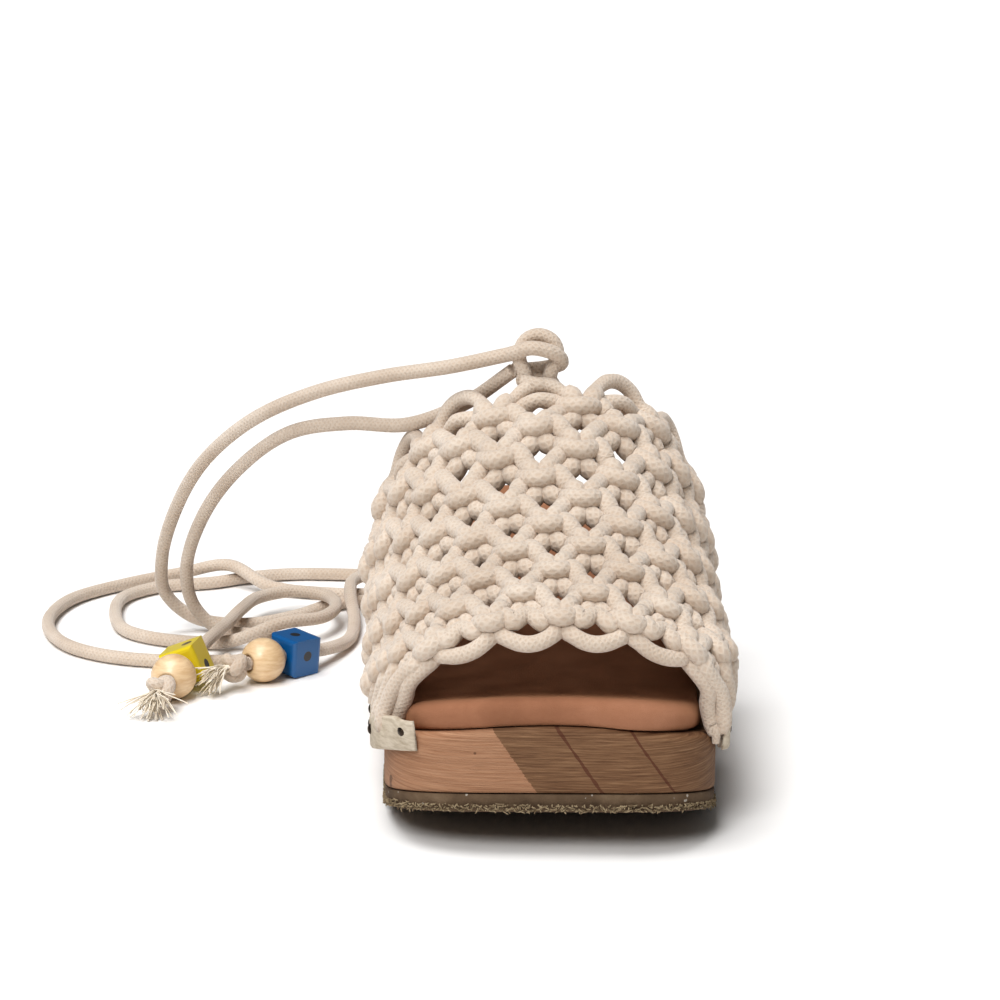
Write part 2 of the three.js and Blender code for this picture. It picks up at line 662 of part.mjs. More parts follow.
// A tie with its cube bead, round bead and end knot, which follow each other along its last stretch
function addTie(letter, route, steps, cubeColor) {
  const [start, end] = route.slice(-2).map((place) => new THREE.Vector3(...place));
  const along = end.clone().sub(start).normalize();
  const turn = new THREE.Quaternion().setFromUnitVectors(new THREE.Vector3(0, 1, 0), along);
  const toRound = cubeBead / 2 + beadGap + roundBead / 2;
  const toKnot = toRound + roundBead / 2 + beadGap + endKnot * 0.45;
  addPiece(`tie_${letter}`, tie(route, steps), cordColor, 0.95);
  const threaded = [
    [`cube_bead_${letter}`, cubeBeadShape(), cubeColor, 0.3, 0],
    [`round_bead_${letter}`, roundBeadShape(), 0xebcda5, 0.45, toRound],
    [`end_knot_${letter}`, endKnotShape(), cordColor, 0.95, toKnot],
  ];
  threaded.forEach(([name, geometry, color, roughness, distance]) => {
    const piece = addPiece(name, geometry, color, roughness);
    piece.quaternion.copy(turn);
    piece.position.copy(start).addScaledVector(along, distance);
  });
}

addTie('a', tieARoute, 71, 0xe1cd28);
addTie('b', tieBRoute, 65, 0x005f9b);

export default clog;
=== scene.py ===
# %% [markdown]
# # Knotted cord clog, right foot
#
# A net of alternating square knots in thick braided cotton cord, nailed to a wooden sole that has
# a suede footbed on top and a rubber sheet below. Two long ties leave the throat to the outer
# side, arch down to the floor and lie there in loops, each with a painted cube, a round wooden
# bead and a frayed knot at its end.
#
# Shoe coordinates are millimetres: x from the middle of the ball to the inner side, y from the toe
# tip to the heel, z up from the floor. `to_row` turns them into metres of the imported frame.

import math
import random

import bpy
import numpy as np
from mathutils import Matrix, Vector


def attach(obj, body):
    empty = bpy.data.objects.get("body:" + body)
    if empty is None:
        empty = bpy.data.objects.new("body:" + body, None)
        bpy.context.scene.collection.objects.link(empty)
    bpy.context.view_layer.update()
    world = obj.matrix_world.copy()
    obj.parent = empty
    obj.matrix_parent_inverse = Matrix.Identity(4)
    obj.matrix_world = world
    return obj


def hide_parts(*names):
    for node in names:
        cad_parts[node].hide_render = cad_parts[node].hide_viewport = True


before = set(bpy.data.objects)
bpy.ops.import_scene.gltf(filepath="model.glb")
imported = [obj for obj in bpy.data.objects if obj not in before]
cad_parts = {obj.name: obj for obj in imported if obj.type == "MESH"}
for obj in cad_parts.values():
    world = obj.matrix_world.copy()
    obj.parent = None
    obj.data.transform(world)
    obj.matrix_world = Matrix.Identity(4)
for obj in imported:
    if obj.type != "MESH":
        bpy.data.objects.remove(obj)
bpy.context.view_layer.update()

SHIFT = np.array([1.4187, -124.4762, 0.0])


def to_row(points):
    return (np.asarray(points, float) + SHIFT) / 1000.0


# %% [markdown]
# ## Camera
#
# The photo was taken from in front, 75 cm before the toe tip and 28 cm above the floor, with a long
# lens that looks 13.4 degrees down.

# %% Camera
camera_spot = to_row([-14.0, -750.0, 280.0])
camera_data = bpy.data.cameras.new("Camera")
camera_data.lens = 104.4
camera_data.sensor_width = 36.0
camera_data.clip_start = 0.05
camera = bpy.data.objects.new("Camera", camera_data)
camera.location = camera_spot
camera.rotation_euler = (math.radians(90.0 - 13.44), 0.0, 0.0)
bpy.context.collection.objects.link(camera)
bpy.context.scene.camera = camera

# %% [markdown]
# ## Materials
#
# Small helpers first: `Shader` starts a material with its Principled node, and `add` puts a node
# in, sets its plain values and links its inputs.


# %% Shader helpers
class Shader:
    def __init__(self, name):
        self.material = bpy.data.materials.new(name)
        self.material.use_nodes = True
        self.nodes = self.material.node_tree.nodes
        self.links = self.material.node_tree.links
        self.main = self.nodes["Principled BSDF"]

    def put(self, socket, value):
        if isinstance(value, bpy.types.NodeSocket):
            self.links.new(value, socket)
        elif value is not None:
            socket.default_value = value

    def add(self, kind, inputs=None, **settings):
        node = self.nodes.new("ShaderNode" + kind)
        for key, value in settings.items():
            setattr(node, key, value)
        for key, value in (inputs or {}).items():
            self.put(node.inputs[key], value)
        return node

    def maths(self, operation, a, b=None, c=None):
        node = self.nodes.new("ShaderNodeMath")
        node.operation = operation
        for socket, value in zip(node.inputs, (a, b, c)):
            self.put(socket, value)
        return node.outputs[0]

    def colour_mix(self, share, a, b, blend="MIX"):
        node = self.nodes.new("ShaderNodeMix")
        node.data_type = "RGBA"
        node.blend_type = blend
        self.put(node.inputs[0], share)
        self.put(node.inputs[6], a)
        self.put(node.inputs[7], b)
        return node.outputs[2]

    def ramp(self, value, stops):
        node = self.nodes.new("ShaderNodeValToRGB")
        self.put(node.inputs[0], value)
        elements = node.color_ramp.elements
        while len(elements) < len(stops):
            elements.new(0.5)
        for element, (place, colour) in zip(elements, stops):
            element.position = place
            element.color = colour if len(colour) == 4 else (*colour, 1.0)
        return node.outputs[0]

    def place(self, scale=(1, 1, 1)):
        coordinates = self.add("TexCoord").outputs["Object"]
        return self.add("Mapping", {"Vector": coordinates, "Scale": scale}).outputs[0]

    def noise(self, where, scale, detail=4.0, rough=0.55, distortion=0.0):
        values = {
            "Vector": where, "Scale": scale, "Detail": detail, "Roughness": rough,
            "Distortion": distortion,
        }
        return self.add("TexNoise", values).outputs[0]

    def bump(self, height, strength, distance, normal=None):
        values = {"Height": height, "Strength": strength, "Distance": distance}
        node = self.add("Bump", values)
        if normal is not None:
            self.links.new(normal, node.inputs["Normal"])
        return node.outputs[0]

    def finish(self, **values):
        for key, value in values.items():
            self.put(self.main.inputs[key.replace("_", " ")], value)
        return self.material


def rgb(red, green, blue):
    """A colour as it looks in the photo, from 0 to 255, as linear values."""
    linear = [((v / 255 + 0.055) / 1.055) ** 2.4 if v > 10 else v / 3294 for v in (red, green, blue)]
    return (*linear, 1.0)


# %% [markdown]
# ### Braided cotton
#
# Every cord carries two attributes: `along`, the millimetres from its start, and `around`, the
# direction from its middle line. The braid is two sets of slanting yarns, with painted shade, a
# browner colour, in the grooves between them. Small brown flecks lie over it, and a fine bump and
# a sheen stand for its fuzz.

# %% Cord material
CORD = 4.5


def cord_material(name="cotton braid", yarns=7.0, pitch=3.2):
    s = Shader(name)
    along = s.add("Attribute", attribute_name="along").outputs["Fac"]
    around = s.add("Attribute", attribute_name="around").outputs["Vector"]
    parts = s.add("SeparateXYZ", {0: around})
    angle = s.maths("ARCTAN2", parts.outputs[0], parts.outputs[1])
    turns = s.maths("MULTIPLY", angle, yarns)
    waves = s.maths("MULTIPLY", along, 2 * math.pi * 2 / pitch)
    here = s.place()
    wobble = s.maths("MULTIPLY", s.noise(here, 700.0, 3.0), 5.0)
    right = s.maths("SINE", s.maths("ADD", s.maths("ADD", turns, waves), wobble))
    left = s.maths("SINE", s.maths("SUBTRACT", s.maths("SUBTRACT", turns, waves), wobble))
    braid = s.maths("MAXIMUM", right, left)
    fuzz = s.noise(here, 5200.0, 3.0, 0.7)
    height = s.maths("ADD", s.maths("MULTIPLY", braid, 0.55), s.maths("MULTIPLY", fuzz, 0.8))
    normal = s.bump(height, 0.6, 0.0003)
    patches = s.noise(here, 60.0, 3.0)
    base = s.ramp(patches, [(0.3, rgb(204, 187, 170)), (0.7, rgb(221, 207, 192))])
    # Painted shade: the grooves between the yarns, where the bump is lowest, are darkened towards brown.
    groove_shade = s.maths("MULTIPLY", s.maths("SUBTRACT", 1.0, braid), 0.16)
    base = s.colour_mix(groove_shade, base, rgb(184, 152, 120))
    fleck = s.maths("GREATER_THAN", s.noise(here, 2600.0, 1.0), 0.665)
    base = s.colour_mix(s.maths("MULTIPLY", fleck, 0.3), base, rgb(160, 138, 116))
    return s.finish(
        Base_Color=base, Roughness=0.92, Normal=normal, Specular_IOR_Level=0.2,
        Sheen_Weight=0.35, Sheen_Roughness=0.6, Subsurface_Weight=0.0,
    )


cord_look = cord_material()

# %% [markdown]
# ## Sweeping cords
#
# `sweep` turns middle lines into cords. A Geometry Nodes tree stores `along` and `around` and
# sweeps a round section. The result is kept as a plain mesh.


# %% Cord sweep
def sweep_tree():
    tree = bpy.data.node_groups.new("Cord sweep", "GeometryNodeTree")
    face = tree.interface
    face.new_socket("Lines", in_out="INPUT", socket_type="NodeSocketGeometry")
    face.new_socket("Sides", in_out="INPUT", socket_type="NodeSocketInt")
    face.new_socket("Material", in_out="INPUT", socket_type="NodeSocketMaterial")
    face.new_socket("Cords", in_out="OUTPUT", socket_type="NodeSocketGeometry")
    nodes, links = tree.nodes, tree.links
    group_in = nodes.new("NodeGroupInput")
    group_out = nodes.new("NodeGroupOutput")
    spline = nodes.new("GeometryNodeSplineParameter")
    scale = nodes.new("ShaderNodeMath")
    scale.operation = "MULTIPLY"
    scale.inputs[1].default_value = 1000.0
    along = nodes.new("GeometryNodeStoreNamedAttribute")
    along.data_type = "FLOAT"
    along.domain = "POINT"
    along.inputs["Name"].default_value = "along"
    circle = nodes.new("GeometryNodeCurvePrimitiveCircle")
    circle.inputs["Radius"].default_value = 1.0
    around = nodes.new("GeometryNodeStoreNamedAttribute")
    around.data_type = "FLOAT_VECTOR"
    around.domain = "POINT"
    around.inputs["Name"].default_value = "around"
    position = nodes.new("GeometryNodeInputPosition")
    mesh = nodes.new("GeometryNodeCurveToMesh")
    mesh.inputs["Fill Caps"].default_value = True
    realize = nodes.new("GeometryNodeRealizeInstances")
    smooth = nodes.new("GeometryNodeSetShadeSmooth")
    material = nodes.new("GeometryNodeSetMaterial")
    links.new(spline.outputs["Length"], scale.inputs[0])
    links.new(group_in.outputs["Lines"], along.inputs["Geometry"])
    links.new(scale.outputs[0], along.inputs["Value"])
    links.new(group_in.outputs["Sides"], circle.inputs["Resolution"])
    links.new(circle.outputs[0], around.inputs["Geometry"])
    links.new(position.outputs[0], around.inputs["Value"])
    links.new(along.outputs[0], mesh.inputs["Curve"])
    links.new(around.outputs[0], mesh.inputs["Profile Curve"])
    links.new(nodes.new("GeometryNodeInputRadius").outputs[0], mesh.inputs["Scale"])
    links.new(mesh.outputs[0], smooth.inputs["Geometry"])
    links.new(smooth.outputs[0], realize.inputs[0])
    links.new(realize.outputs[0], material.inputs["Geometry"])
    links.new(group_in.outputs["Material"], material.inputs["Material"])
    links.new(material.outputs[0], group_out.inputs[0])
    return tree


SWEEP = sweep_tree()


def sweep(name, lines, material, radius=CORD / 2, sides=10, closed=False):
    """Cords along lines of shoe coordinates. A line's fourth column, if any, scales the radius."""
    curve = bpy.data.curves.new(name + " line", "CURVE")
    curve.dimensions = "3D"
    for line in lines:
        line = np.asarray(line, float)
        places = to_row(line[:, :3])
        scales = line[:, 3] if line.shape[1] > 3 else np.ones(len(line))
        spline = curve.splines.new("POLY")
        spline.points.add(len(line) - 1)
        spline.points.foreach_set("co", np.column_stack([places, np.ones(len(line))]).ravel())
        spline.points.foreach_set("radius", scales * radius / 1000.0)
        spline.use_cyclic_u = closed
    source = bpy.data.objects.new(name + " line", curve)
    bpy.context.collection.objects.link(source)
    modifier = source.modifiers.new("sweep", "NODES")
    modifier.node_group = SWEEP
    sockets = {item.name: item.identifier for item in SWEEP.interface.items_tree if item.in_out == "INPUT"}
    modifier[sockets["Sides"]] = sides
    modifier[sockets["Material"]] = material
    depsgraph = bpy.context.evaluated_depsgraph_get()
    depsgraph.update()
    made = bpy.data.meshes.new_from_object(source.evaluated_get(depsgraph), depsgraph=depsgraph)
    bpy.data.objects.remove(source)
    bpy.data.curves.remove(curve)
    made.name = name
    if not made.materials:
        made.materials.append(material)
    cord = bpy.data.objects.new(name, made)
    bpy.context.collection.objects.link(cord)
    return cord


def through(points, step=1.4, closed=False):
    """A smooth line through points, with a point about every step millimetres."""
    p = np.asarray(points, float)
    p = np.vstack([p[-1], p, p[:2]]) if closed else np.vstack([2 * p[0] - p[1], p, 2 * p[-1] - p[-2]])
    out = []
    for i in range(1, len(p) - 2):
        p0, p1, p2, p3 = p[i - 1 : i + 3]
        pairs = ((p0, p1), (p1, p2), (p2, p3))
        d0, d1, d2 = (max(np.linalg.norm((b - a)[:3]) ** 0.5, 1e-3) for a, b in pairs)
        t1 = ((p1 - p0) / d0 - (p2 - p0) / (d0 + d1) + (p2 - p1) / d1) * d1
        t2 = ((p2 - p1) / d1 - (p3 - p1) / (d1 + d2) + (p3 - p2) / d2) * d1
        for t in np.linspace(0, 1, 12, endpoint=False):
            out.append(
                (2 * t**3 - 3 * t**2 + 1) * p1 + (t**3 - 2 * t**2 + t) * t1
                + (-2 * t**3 + 3 * t**2) * p2 + (t**3 - t**2) * t2
            )
    if not closed:
        out.append(p[-2])
    out = np.array(out)
    if closed:
        out = np.vstack([out, out[:1]])
    lengths = np.concatenate([[0], np.cumsum(np.linalg.norm(np.diff(out[:, :3], axis=0), axis=1))])
    count = max(3, int(round(lengths[-1] / step)))
    places = np.linspace(0, lengths[-1], count + 1)
    if closed:
        places = places[:-1]
    return np.column_stack([np.interp(places, lengths, out[:, k]) for k in range(out.shape[1])])


def line_length(line):
    return float(np.linalg.norm(np.diff(np.asarray(line)[:, :3], axis=0), axis=1).sum())


# %% [markdown]
# ## The two ties
#
# Their routes are the ones of the solids. The last point of a route lies past its cube bead, at the
# far face of the round bead.

# %% Tie routes
LOW = 2.5
OVER = 7.5
TIE_A = [
    (-11.1, 116.8, 118.4), (-29, 121, 113.8), (-50, 132, 108.6), (-72, 145, 101), (-93, 160, 89.2),
    (-111, 178, 71.5), (-123, 197, 50.5), (-130, 213, 29), (-130, 221.5, 14.5), (-120.5, 224.5, 5),
    (-103, 223.5, 2.9), (-86, 235.5, LOW), (-73, 251, LOW), (-52, 257, LOW),
    (26, 257, LOW), (38, 262, LOW), (43, 274, LOW), (38, 286, LOW),
    (26, 291, LOW), (-56, 291, LOW), (-90, 293, LOW), (-106, 288.5, LOW),
    (-120, 280.5, LOW), (-138, 275, LOW), (-149.5, 261, LOW), (-150, 238, LOW),
    (-143, 216, LOW), (-127, 204.5, LOW), (-106, 200.5, 3.4), (-89, 204.6, OVER + 1),
    (-75.5, 216, OVER), (-71.5, 231, OVER), (-76, 244.5, OVER), (-88, 250, OVER),
    (-99, 242.5, OVER), (-103.8, 223, OVER + 1.1), (-107, 204, OVER + 1.4),
    (-111.8, 186, OVER + 0.7), (-116.2, 159.5, 8), (-120.8, 138.7, 7.1),
]
TIE_B = [
    (-10, 118.6, 113), (-25, 127, 101), (-43, 136, 92.5), (-62, 145, 91), (-81, 157, 85.5),
    (-100, 175.5, 69), (-114, 194, 48), (-121, 207.5, 27), (-119.5, 213.5, 12.5), (-111, 214.1, 3.7),
    (-96, 209.5, 2.8), (-84.5, 197.5, LOW), (-87.5, 185.5, LOW), (-100, 180, LOW),
    (-138, 182.5, LOW), (-160, 197, LOW), (-172, 226, LOW), (-168, 258, LOW),
    (-151, 279, LOW), (-132, 287.8, 4.2), (-114, 284.3, OVER + 0.7), (-98, 273, 3.2),
    (-77, 265.7, LOW), (-40, 264.5, LOW), (12.5, 264.6, LOW), (19.6, 267.5, LOW),
    (22.9, 274.6, LOW), (19.9, 282, LOW), (12.5, 285, LOW), (0, 285, LOW),
    (-36, 283.7, 3), (-55.5, 280, OVER), (-66.5, 266, OVER + 0.2), (-67.5, 250, OVER),
    (-65, 228, 3), (-66, 204, LOW + 0.2), (-73.5, 183.5, 5.4), (-82, 174.4, 7), (-96.7, 159.4, 7.7),
]
tie_lines = {"a": through(TIE_A, 1.6), "b": through(TIE_B, 1.6)}
ties = {}
for letter, line in tie_lines.items():
    ties[letter] = sweep(f"tie_{letter}_cord", [line], cord_look, sides=12)
    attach(ties[letter], "root")
    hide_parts(f"tie_{letter}")
    print(f"tie {letter}: {line_length(line):.0f} mm, lowest {line[:, 2].min() - CORD / 2:.2f} mm")

# %% [markdown]
# ## Shape of the shoe
#
# The tables and functions below give the sole and the middle surface of the knotted wall in the
# same way as the solids.

# %% Tables
SOLE_LENGTH = 250.0
BALL_WIDTH = 97.0
TOE_SPRING = 13.0
ARCH_LIFT = 5.0
HEEL_BEVEL = 1.2
RUBBER = 5.2
WOOD_FORE = 19.0
WOOD_HEEL = 37.0
WOOD_CROWN = 2.6
WOOD_ROUND = 2.4
INSOLE = 7.0
INSOLE_MARGIN = 4.6
HEEL_DISH = 1.5
TOE_SKEW = 0.05
SEAM = 0.3
INSTEP = 102.0
VAMP_FRONT = 11.0
VAMP_LENGTH = 94.0
SIDE_FRONT = 16.0
SIDE_LENGTH = 118.0
BULGE = 4.0
RIDGE_SHIFT = 3.0
TOE_PITCH = 18.5
COLLAR_PITCH = 24.6
SKIRT = 2.4

outline_table = {
    "at": [0.00, 0.18, 0.30, 0.42, 0.54, 0.64, 0.74, 0.84, 1.00],
    "inner": [0.480, 0.490, 0.500, 0.475, 0.420, 0.365, 0.330, 0.325, 0.325],
    "outer": [0.480, 0.490, 0.500, 0.495, 0.460, 0.415, 0.385, 0.380, 0.380],
}
ground_table = {
    "at": [0.00, 0.06, 0.12, 0.18, 0.24, 0.46, 0.52, 0.58, 0.64, 0.70, 0.957, 1.00],
    "toe": [1.00, 0.70, 0.40, 0.14, 0, 0, 0, 0, 0, 0, 0, 0],
    "arch": [0, 0, 0, 0, 0, 0, 0.5, 1.0, 0.7, 0, 0, 0],
    "heel": [0, 0, 0, 0, 0, 0, 0, 0, 0, 0, 0, 1.0],
}
wood_table = {
    "at": [0.00, 0.12, 0.24, 0.34, 0.46, 0.58, 0.70, 0.80, 1.00],
    "fore": [1.00, 1.00, 1.00, 1.00, 0.92, 0.55, 0.16, 0.00, 0.00],
    "heel": [0.00, 0.00, 0.00, 0.00, 0.07, 0.43, 0.84, 0.99, 1.01],
    "spring": [1.00, 0.44, 0.08, 0.00, 0.00, 0.00, 0.00, 0.00, 0.00],
}
wall_table = {
    "row": [-1, 0, 2, 4, 6, 8, 9, 10],
    "crown": [-0.055, 0.000, 0.225, 0.450, 0.680, 0.890, 0.990, 1.085],
    "side": [-0.005, 0.000, 0.222, 0.444, 0.667, 0.889, 1.000, 1.055],
    "height": [0.575, 0.629, 0.694, 0.770, 0.858, 0.970, 0.998, 1.075],
    "outer": [-0.70, -0.40, -0.50, -0.10, 0.15, 0.87, 1.65, 1.75],
    "inner": [-0.60, -0.20, 0.30, -0.10, 0.17, 1.15, 1.95, 2.05],
    "shift": [1.0, 1.0, 0.5, 0.0, -0.5, -0.8, -0.8, -0.8],
    "rise": [0.00, 0.00, 0.05, 0.10, 0.13, 0.14, 0.14, 0.14],
    "square": [2.40, 2.40, 2.45, 2.50, 2.50, 2.50, 2.45, 2.40],
}
LAST_COLUMN = [4, 5, 6, 7, 8, 7, 8, 7, 8, 7]
SKIRT_COLUMN = 9
EVEN_COLUMNS = 5


# %% Form functions
def read(table, key, place, column):
    at, values = table[key], table[column]
    last = len(at) - 1
    i = next((n for n in range(last) if place < at[n + 1]), last - 1)
    slope = lambda n: (values[n + 1] - values[n]) / (at[n + 1] - at[n])

    def tangent(n):
        if n == 0:
            return slope(0)
        if n == last:
            return slope(last - 1)
        before, after = slope(n - 1), slope(n)
        return 0.0 if before * after <= 0 else 2 * before * after / (before + after)

    step = at[i + 1] - at[i]
    t = (place - at[i]) / step
    return (
        (2 * t**3 - 3 * t**2 + 1) * values[i] + (t**3 - 2 * t**2 + t) * step * tangent(i)
        + (3 * t**2 - 2 * t**3) * values[i + 1] + (t**3 - t**2) * step * tangent(i + 1)
    )


def clamp(value, low, high):
    return min(max(value, low), high)


def mix(a, b, t):
    return a + (b - a) * t


def soft(t):
    t = clamp(t, 0, 1)
    return t * t * (3 - 2 * t)


def cap_factor(share):
    from_toe = (0.18 - share) / 0.18
    from_heel = (share - 1 + 0.16) / 0.16
    power, flat = (4.0, 0.45) if from_toe > 0 else (2.3, 0.2)
    t = clamp(max(from_toe, from_heel), 0, 1)
    return max(flat, (1 - t**power) ** (1 / power))


def half_width(share, side, inset=0.0):
    width = BALL_WIDTH * read(outline_table, "at", share, "inner" if side > 0 else "outer")
    return (width - inset) * cap_factor(share)


def along_sole(share, x, inset=0.0):
    lean = TOE_SKEW * clamp(1 - share / 0.30, 0, 1)
    return inset + share * (SOLE_LENGTH - 2 * inset) - lean * x


def ground(x, y):
    share = clamp(y / SOLE_LENGTH, 0, 1)
    toe, arch, heel = (read(ground_table, "at", share, name) for name in ("toe", "arch", "heel"))
    return TOE_SPRING * toe + ARCH_LIFT * arch + HEEL_BEVEL * heel


def wood_top(x, y):
    share = clamp(y / SOLE_LENGTH, 0, 1)
    fore, heel, spring = (read(wood_table, "at", share, name) for name in ("fore", "heel", "spring"))
    line = RUBBER + SEAM + WOOD_FORE * fore + WOOD_HEEL * heel + TOE_SPRING * spring
    across = clamp(x / half_width(share, math.copysign(1, x)), -1, 1)
    toe_share = clamp(1 - share / 0.54, 0, 1)
    dish = soft((share - 0.54) / 0.16)
    return line - WOOD_CROWN * soft(toe_share * 2) * across**2 - HEEL_DISH * dish * (1 - across**2)


def side_spot(row, sign, outward):
    share = clamp((SIDE_FRONT + SIDE_LENGTH * read(wall_table, "row", row, "side")) / SOLE_LENGTH, 0, 1)
    x = sign * half_width(share, sign, -outward)
    return x, along_sole(share, x), share


def arch_line(row, sign, steps=40):
    square = read(wall_table, "row", row, "square")
    foot_x, foot_y, _ = side_spot(row, sign, SKIRT / 2 + SEAM)
    bulge = BULGE * read(wall_table, "row", row, "inner" if sign > 0 else "outer")
    shift = RIDGE_SHIFT * read(wall_table, "row", row, "shift")
    rise = read(wall_table, "row", row, "rise")
    base = wood_top(foot_x, foot_y) - 1
    top = INSTEP * read(wall_table, "row", row, "height")
    crown_y = VAMP_FRONT + VAMP_LENGTH * read(wall_table, "row", row, "crown")
    line = []
    for n in range(steps + 1):
        angle = n / steps * math.pi / 2
        out = max(math.sin(angle), 0) ** (2 / square)
        up = max(math.cos(angle), 0) ** (2 / square)
        bulged = abs(foot_x) + bulge * (1 - soft((0.3 - up) / 0.3))
        back = clamp(abs(bulged * out / foot_x) ** 2, 0, 1)
        x = sign * bulged * out + shift * up
        line.append((x, mix(crown_y, foot_y, back), mix(base, top, up) + rise * x * up))
    line = np.array(line)
    steps_xz = np.hypot(np.diff(line[:, 0]), np.diff(line[:, 2]))
    return line, np.concatenate([[0], np.cumsum(steps_xz)])


arch_cache = {}


def wall_point(row, column):
    sign = -1 if column < 0 else 1
    name = (round(row, 3), sign)
    if name not in arch_cache:
        arch_cache[name] = arch_line(name[0], sign)
    line, lengths = arch_cache[name]
    pitch = mix(TOE_PITCH, COLLAR_PITCH, row / 9) / 2
    even = min(abs(column), EVEN_COLUMNS) * pitch
    rest = max(abs(column) - EVEN_COLUMNS, 0) / (SKIRT_COLUMN - EVEN_COLUMNS)
    place = clamp(even + rest * (lengths[-1] - EVEN_COLUMNS * pitch), 0, lengths[-1])
    return np.array([np.interp(place, lengths, line[:, k]) for k in range(3)])


def wall_axes(row, column):
    """Steps per row and per half-column, and the wall's outward direction."""
    across = (wall_point(row, column + 0.25) - wall_point(row, column - 0.25)) * 2
    along = (wall_point(row + 0.25, column) - wall_point(row - 0.25, column)) * 2
    normal = np.cross(across, along)
    return across, along, normal / np.linalg.norm(normal)


print("crown of row 9 at", np.round(wall_point(9, 0), 1), "and of row 0 at", np.round(wall_point(0, 0), 1))

# %% [markdown]
# ## The net of knots
#
# Each knot has two filler cords that pass under its bar, the bar itself, and a cord behind that
# turns out to both sides as arcs. An arc becomes a filler of the next lower knot, and a filler
# becomes the end of that knot's bar. At the toe edge and at the collar the ends join into loops.
# At the sides they go down beside the wood. A place is a share of the half-column step across the
# wall, a share of the row step up to the collar, and millimetres out of the wall.

# %% Cords of one knot
FILLER = [
    (0.31, 0.62, 1.0), (0.20, 0.38, 2.2), (0.135, 0.12, 0.8), (0.13, -0.12, -1.6), (0.16, -0.34, -0.6),
    (0.28, -0.50, -0.8),
]
BAR = [
    (-0.50, 0.42, -1.0), (-0.38, 0.20, 0.9), (-0.24, 0.0, 2.4), (0.0, -0.12, 3.2),
    (0.24, 0.0, 2.2), (0.38, 0.20, 0.0), (0.50, 0.42, -1.5),
]
BACK = [
    (-0.57, -0.14, 0.9), (-0.47, 0.10, -0.9), (-0.30, 0.36, -2.6), (-0.12, 0.50, -3.6), (0.12, 0.50, -3.6),
    (0.32, 0.40, -1.0), (0.45, 0.16, 1.6), (0.57, -0.12, 1.7),
]
PLUMP = 1.18
PLUMP_COLLAR = 1.4
LOOP_LIFT = {0: 0.0, 2: 0.25, 4: 0.6, 6: 0.35}


def has_knot(row, column):
    return 0 <= row <= 9 and (row + column) % 2 == 0 and abs(column) <= LAST_COLUMN[row]


def is_loop(row, column):
    return (row == -1 and abs(column) <= 3) or (row == 10 and abs(column) <= 6)


rng = random.Random(7)
knots = [(r, c) for r in range(10) for c in range(-8, 9) if has_knot(r, c)]


def knot_places(knot, places):
    row, column = knot
    out = []
    for x, y, z in places:
        r, c = clamp(row + y, -1.3, 10.6), column + x
        out.append(np.append(wall_point(r, c) + wall_axes(r, c)[2] * z, mix(PLUMP, PLUMP_COLLAR, row / 9)))
    return out


segments = []
for knot in knots:
    wobble = [rng.uniform(-0.035, 0.035) for _ in range(3)]
    shifted = lambda places: [(x + wobble[0], y + wobble[1], z + wobble[2] * 6) for x, y, z in places]
    for s in (-1, 1):
        places = FILLER[:-1] if knot[0] == 0 else FILLER
        filler = shifted([(s * x, y, z) for x, y, z in places])
        segments.append(((knot, "petal", s), (knot, "bit", s), knot_places(knot, filler)))
    segments.append(((knot, "bar", -1), (knot, "bar", 1), knot_places(knot, shifted(BAR))))
    segments.append(((knot, "arc", -1), (knot, "arc", 1), knot_places(knot, shifted(BACK))))

# %% Ends that meet
partner = {}
middles = {}


def join(a, b, points=()):
    partner[a], partner[b] = b, a
    middles[(a, b)] = list(points)
    middles[(b, a)] = list(points)[::-1]


COLLAR_LOOP = [(9.65, -0.62, 0.5), (9.9, -0.34, 0.9), (10.0, 0.0, 1.0), (9.9, 0.34, 0.9), (9.65, 0.62, 0.5)]
PICOT = [(-0.60, -0.68), (-0.84, -0.34), (-0.92, 0.0), (-0.84, 0.34), (-0.60, 0.68)]


def on_wall(row, column, out):
    return wall_point(row, column) + wall_axes(row, column)[2] * out


for row, column in knots:
    knot = (row, column)
    for s in (-1, 1):
        below = (row - 1, column + s)
        beside = (row, column + 2 * s)
        if has_knot(*below):
            join((knot, "arc", s), (below, "petal", -s))
            join((knot, "bit", s), (below, "bar", -s))
        elif is_loop(*below) and s > 0:
            middle = column + 1
            join((knot, "arc", 1), (beside, "arc", -1), [on_wall(0.28, middle, 0.6)])
            picot = [on_wall(r, middle + c, 0.3) for r, c in PICOT]
            join((knot, "bit", 1), (beside, "bit", -1), picot)
        above = (row + 1, column + s)
        if not has_knot(*above) and is_loop(*above) and s > 0:
            middle = column + 1
            lift = wall_axes(9.5, middle)[1] * LOOP_LIFT[abs(middle)]
            outer = [on_wall(r, middle + c, 0.5) + lift * share for r, c, share in COLLAR_LOOP]
            join((knot, "petal", 1), (beside, "petal", -1), outer)
            join((knot, "bar", 1), (beside, "bar", -1), [on_wall(9.5, middle, 1.6)])

FRONT_LEGS = {
    "bit": [(-0.50, 5.2, 0.2), (-0.62, 6.4, -1.6), (-0.45, 7.6, -2.4), (-0.15, 8.6, -1.0)],
    "arc": [(0.0, 5.1, 1.4), (0.22, 6.2, 1.6), (0.30, 7.4, 1.4), (0.25, 8.5, 0.6)],
}


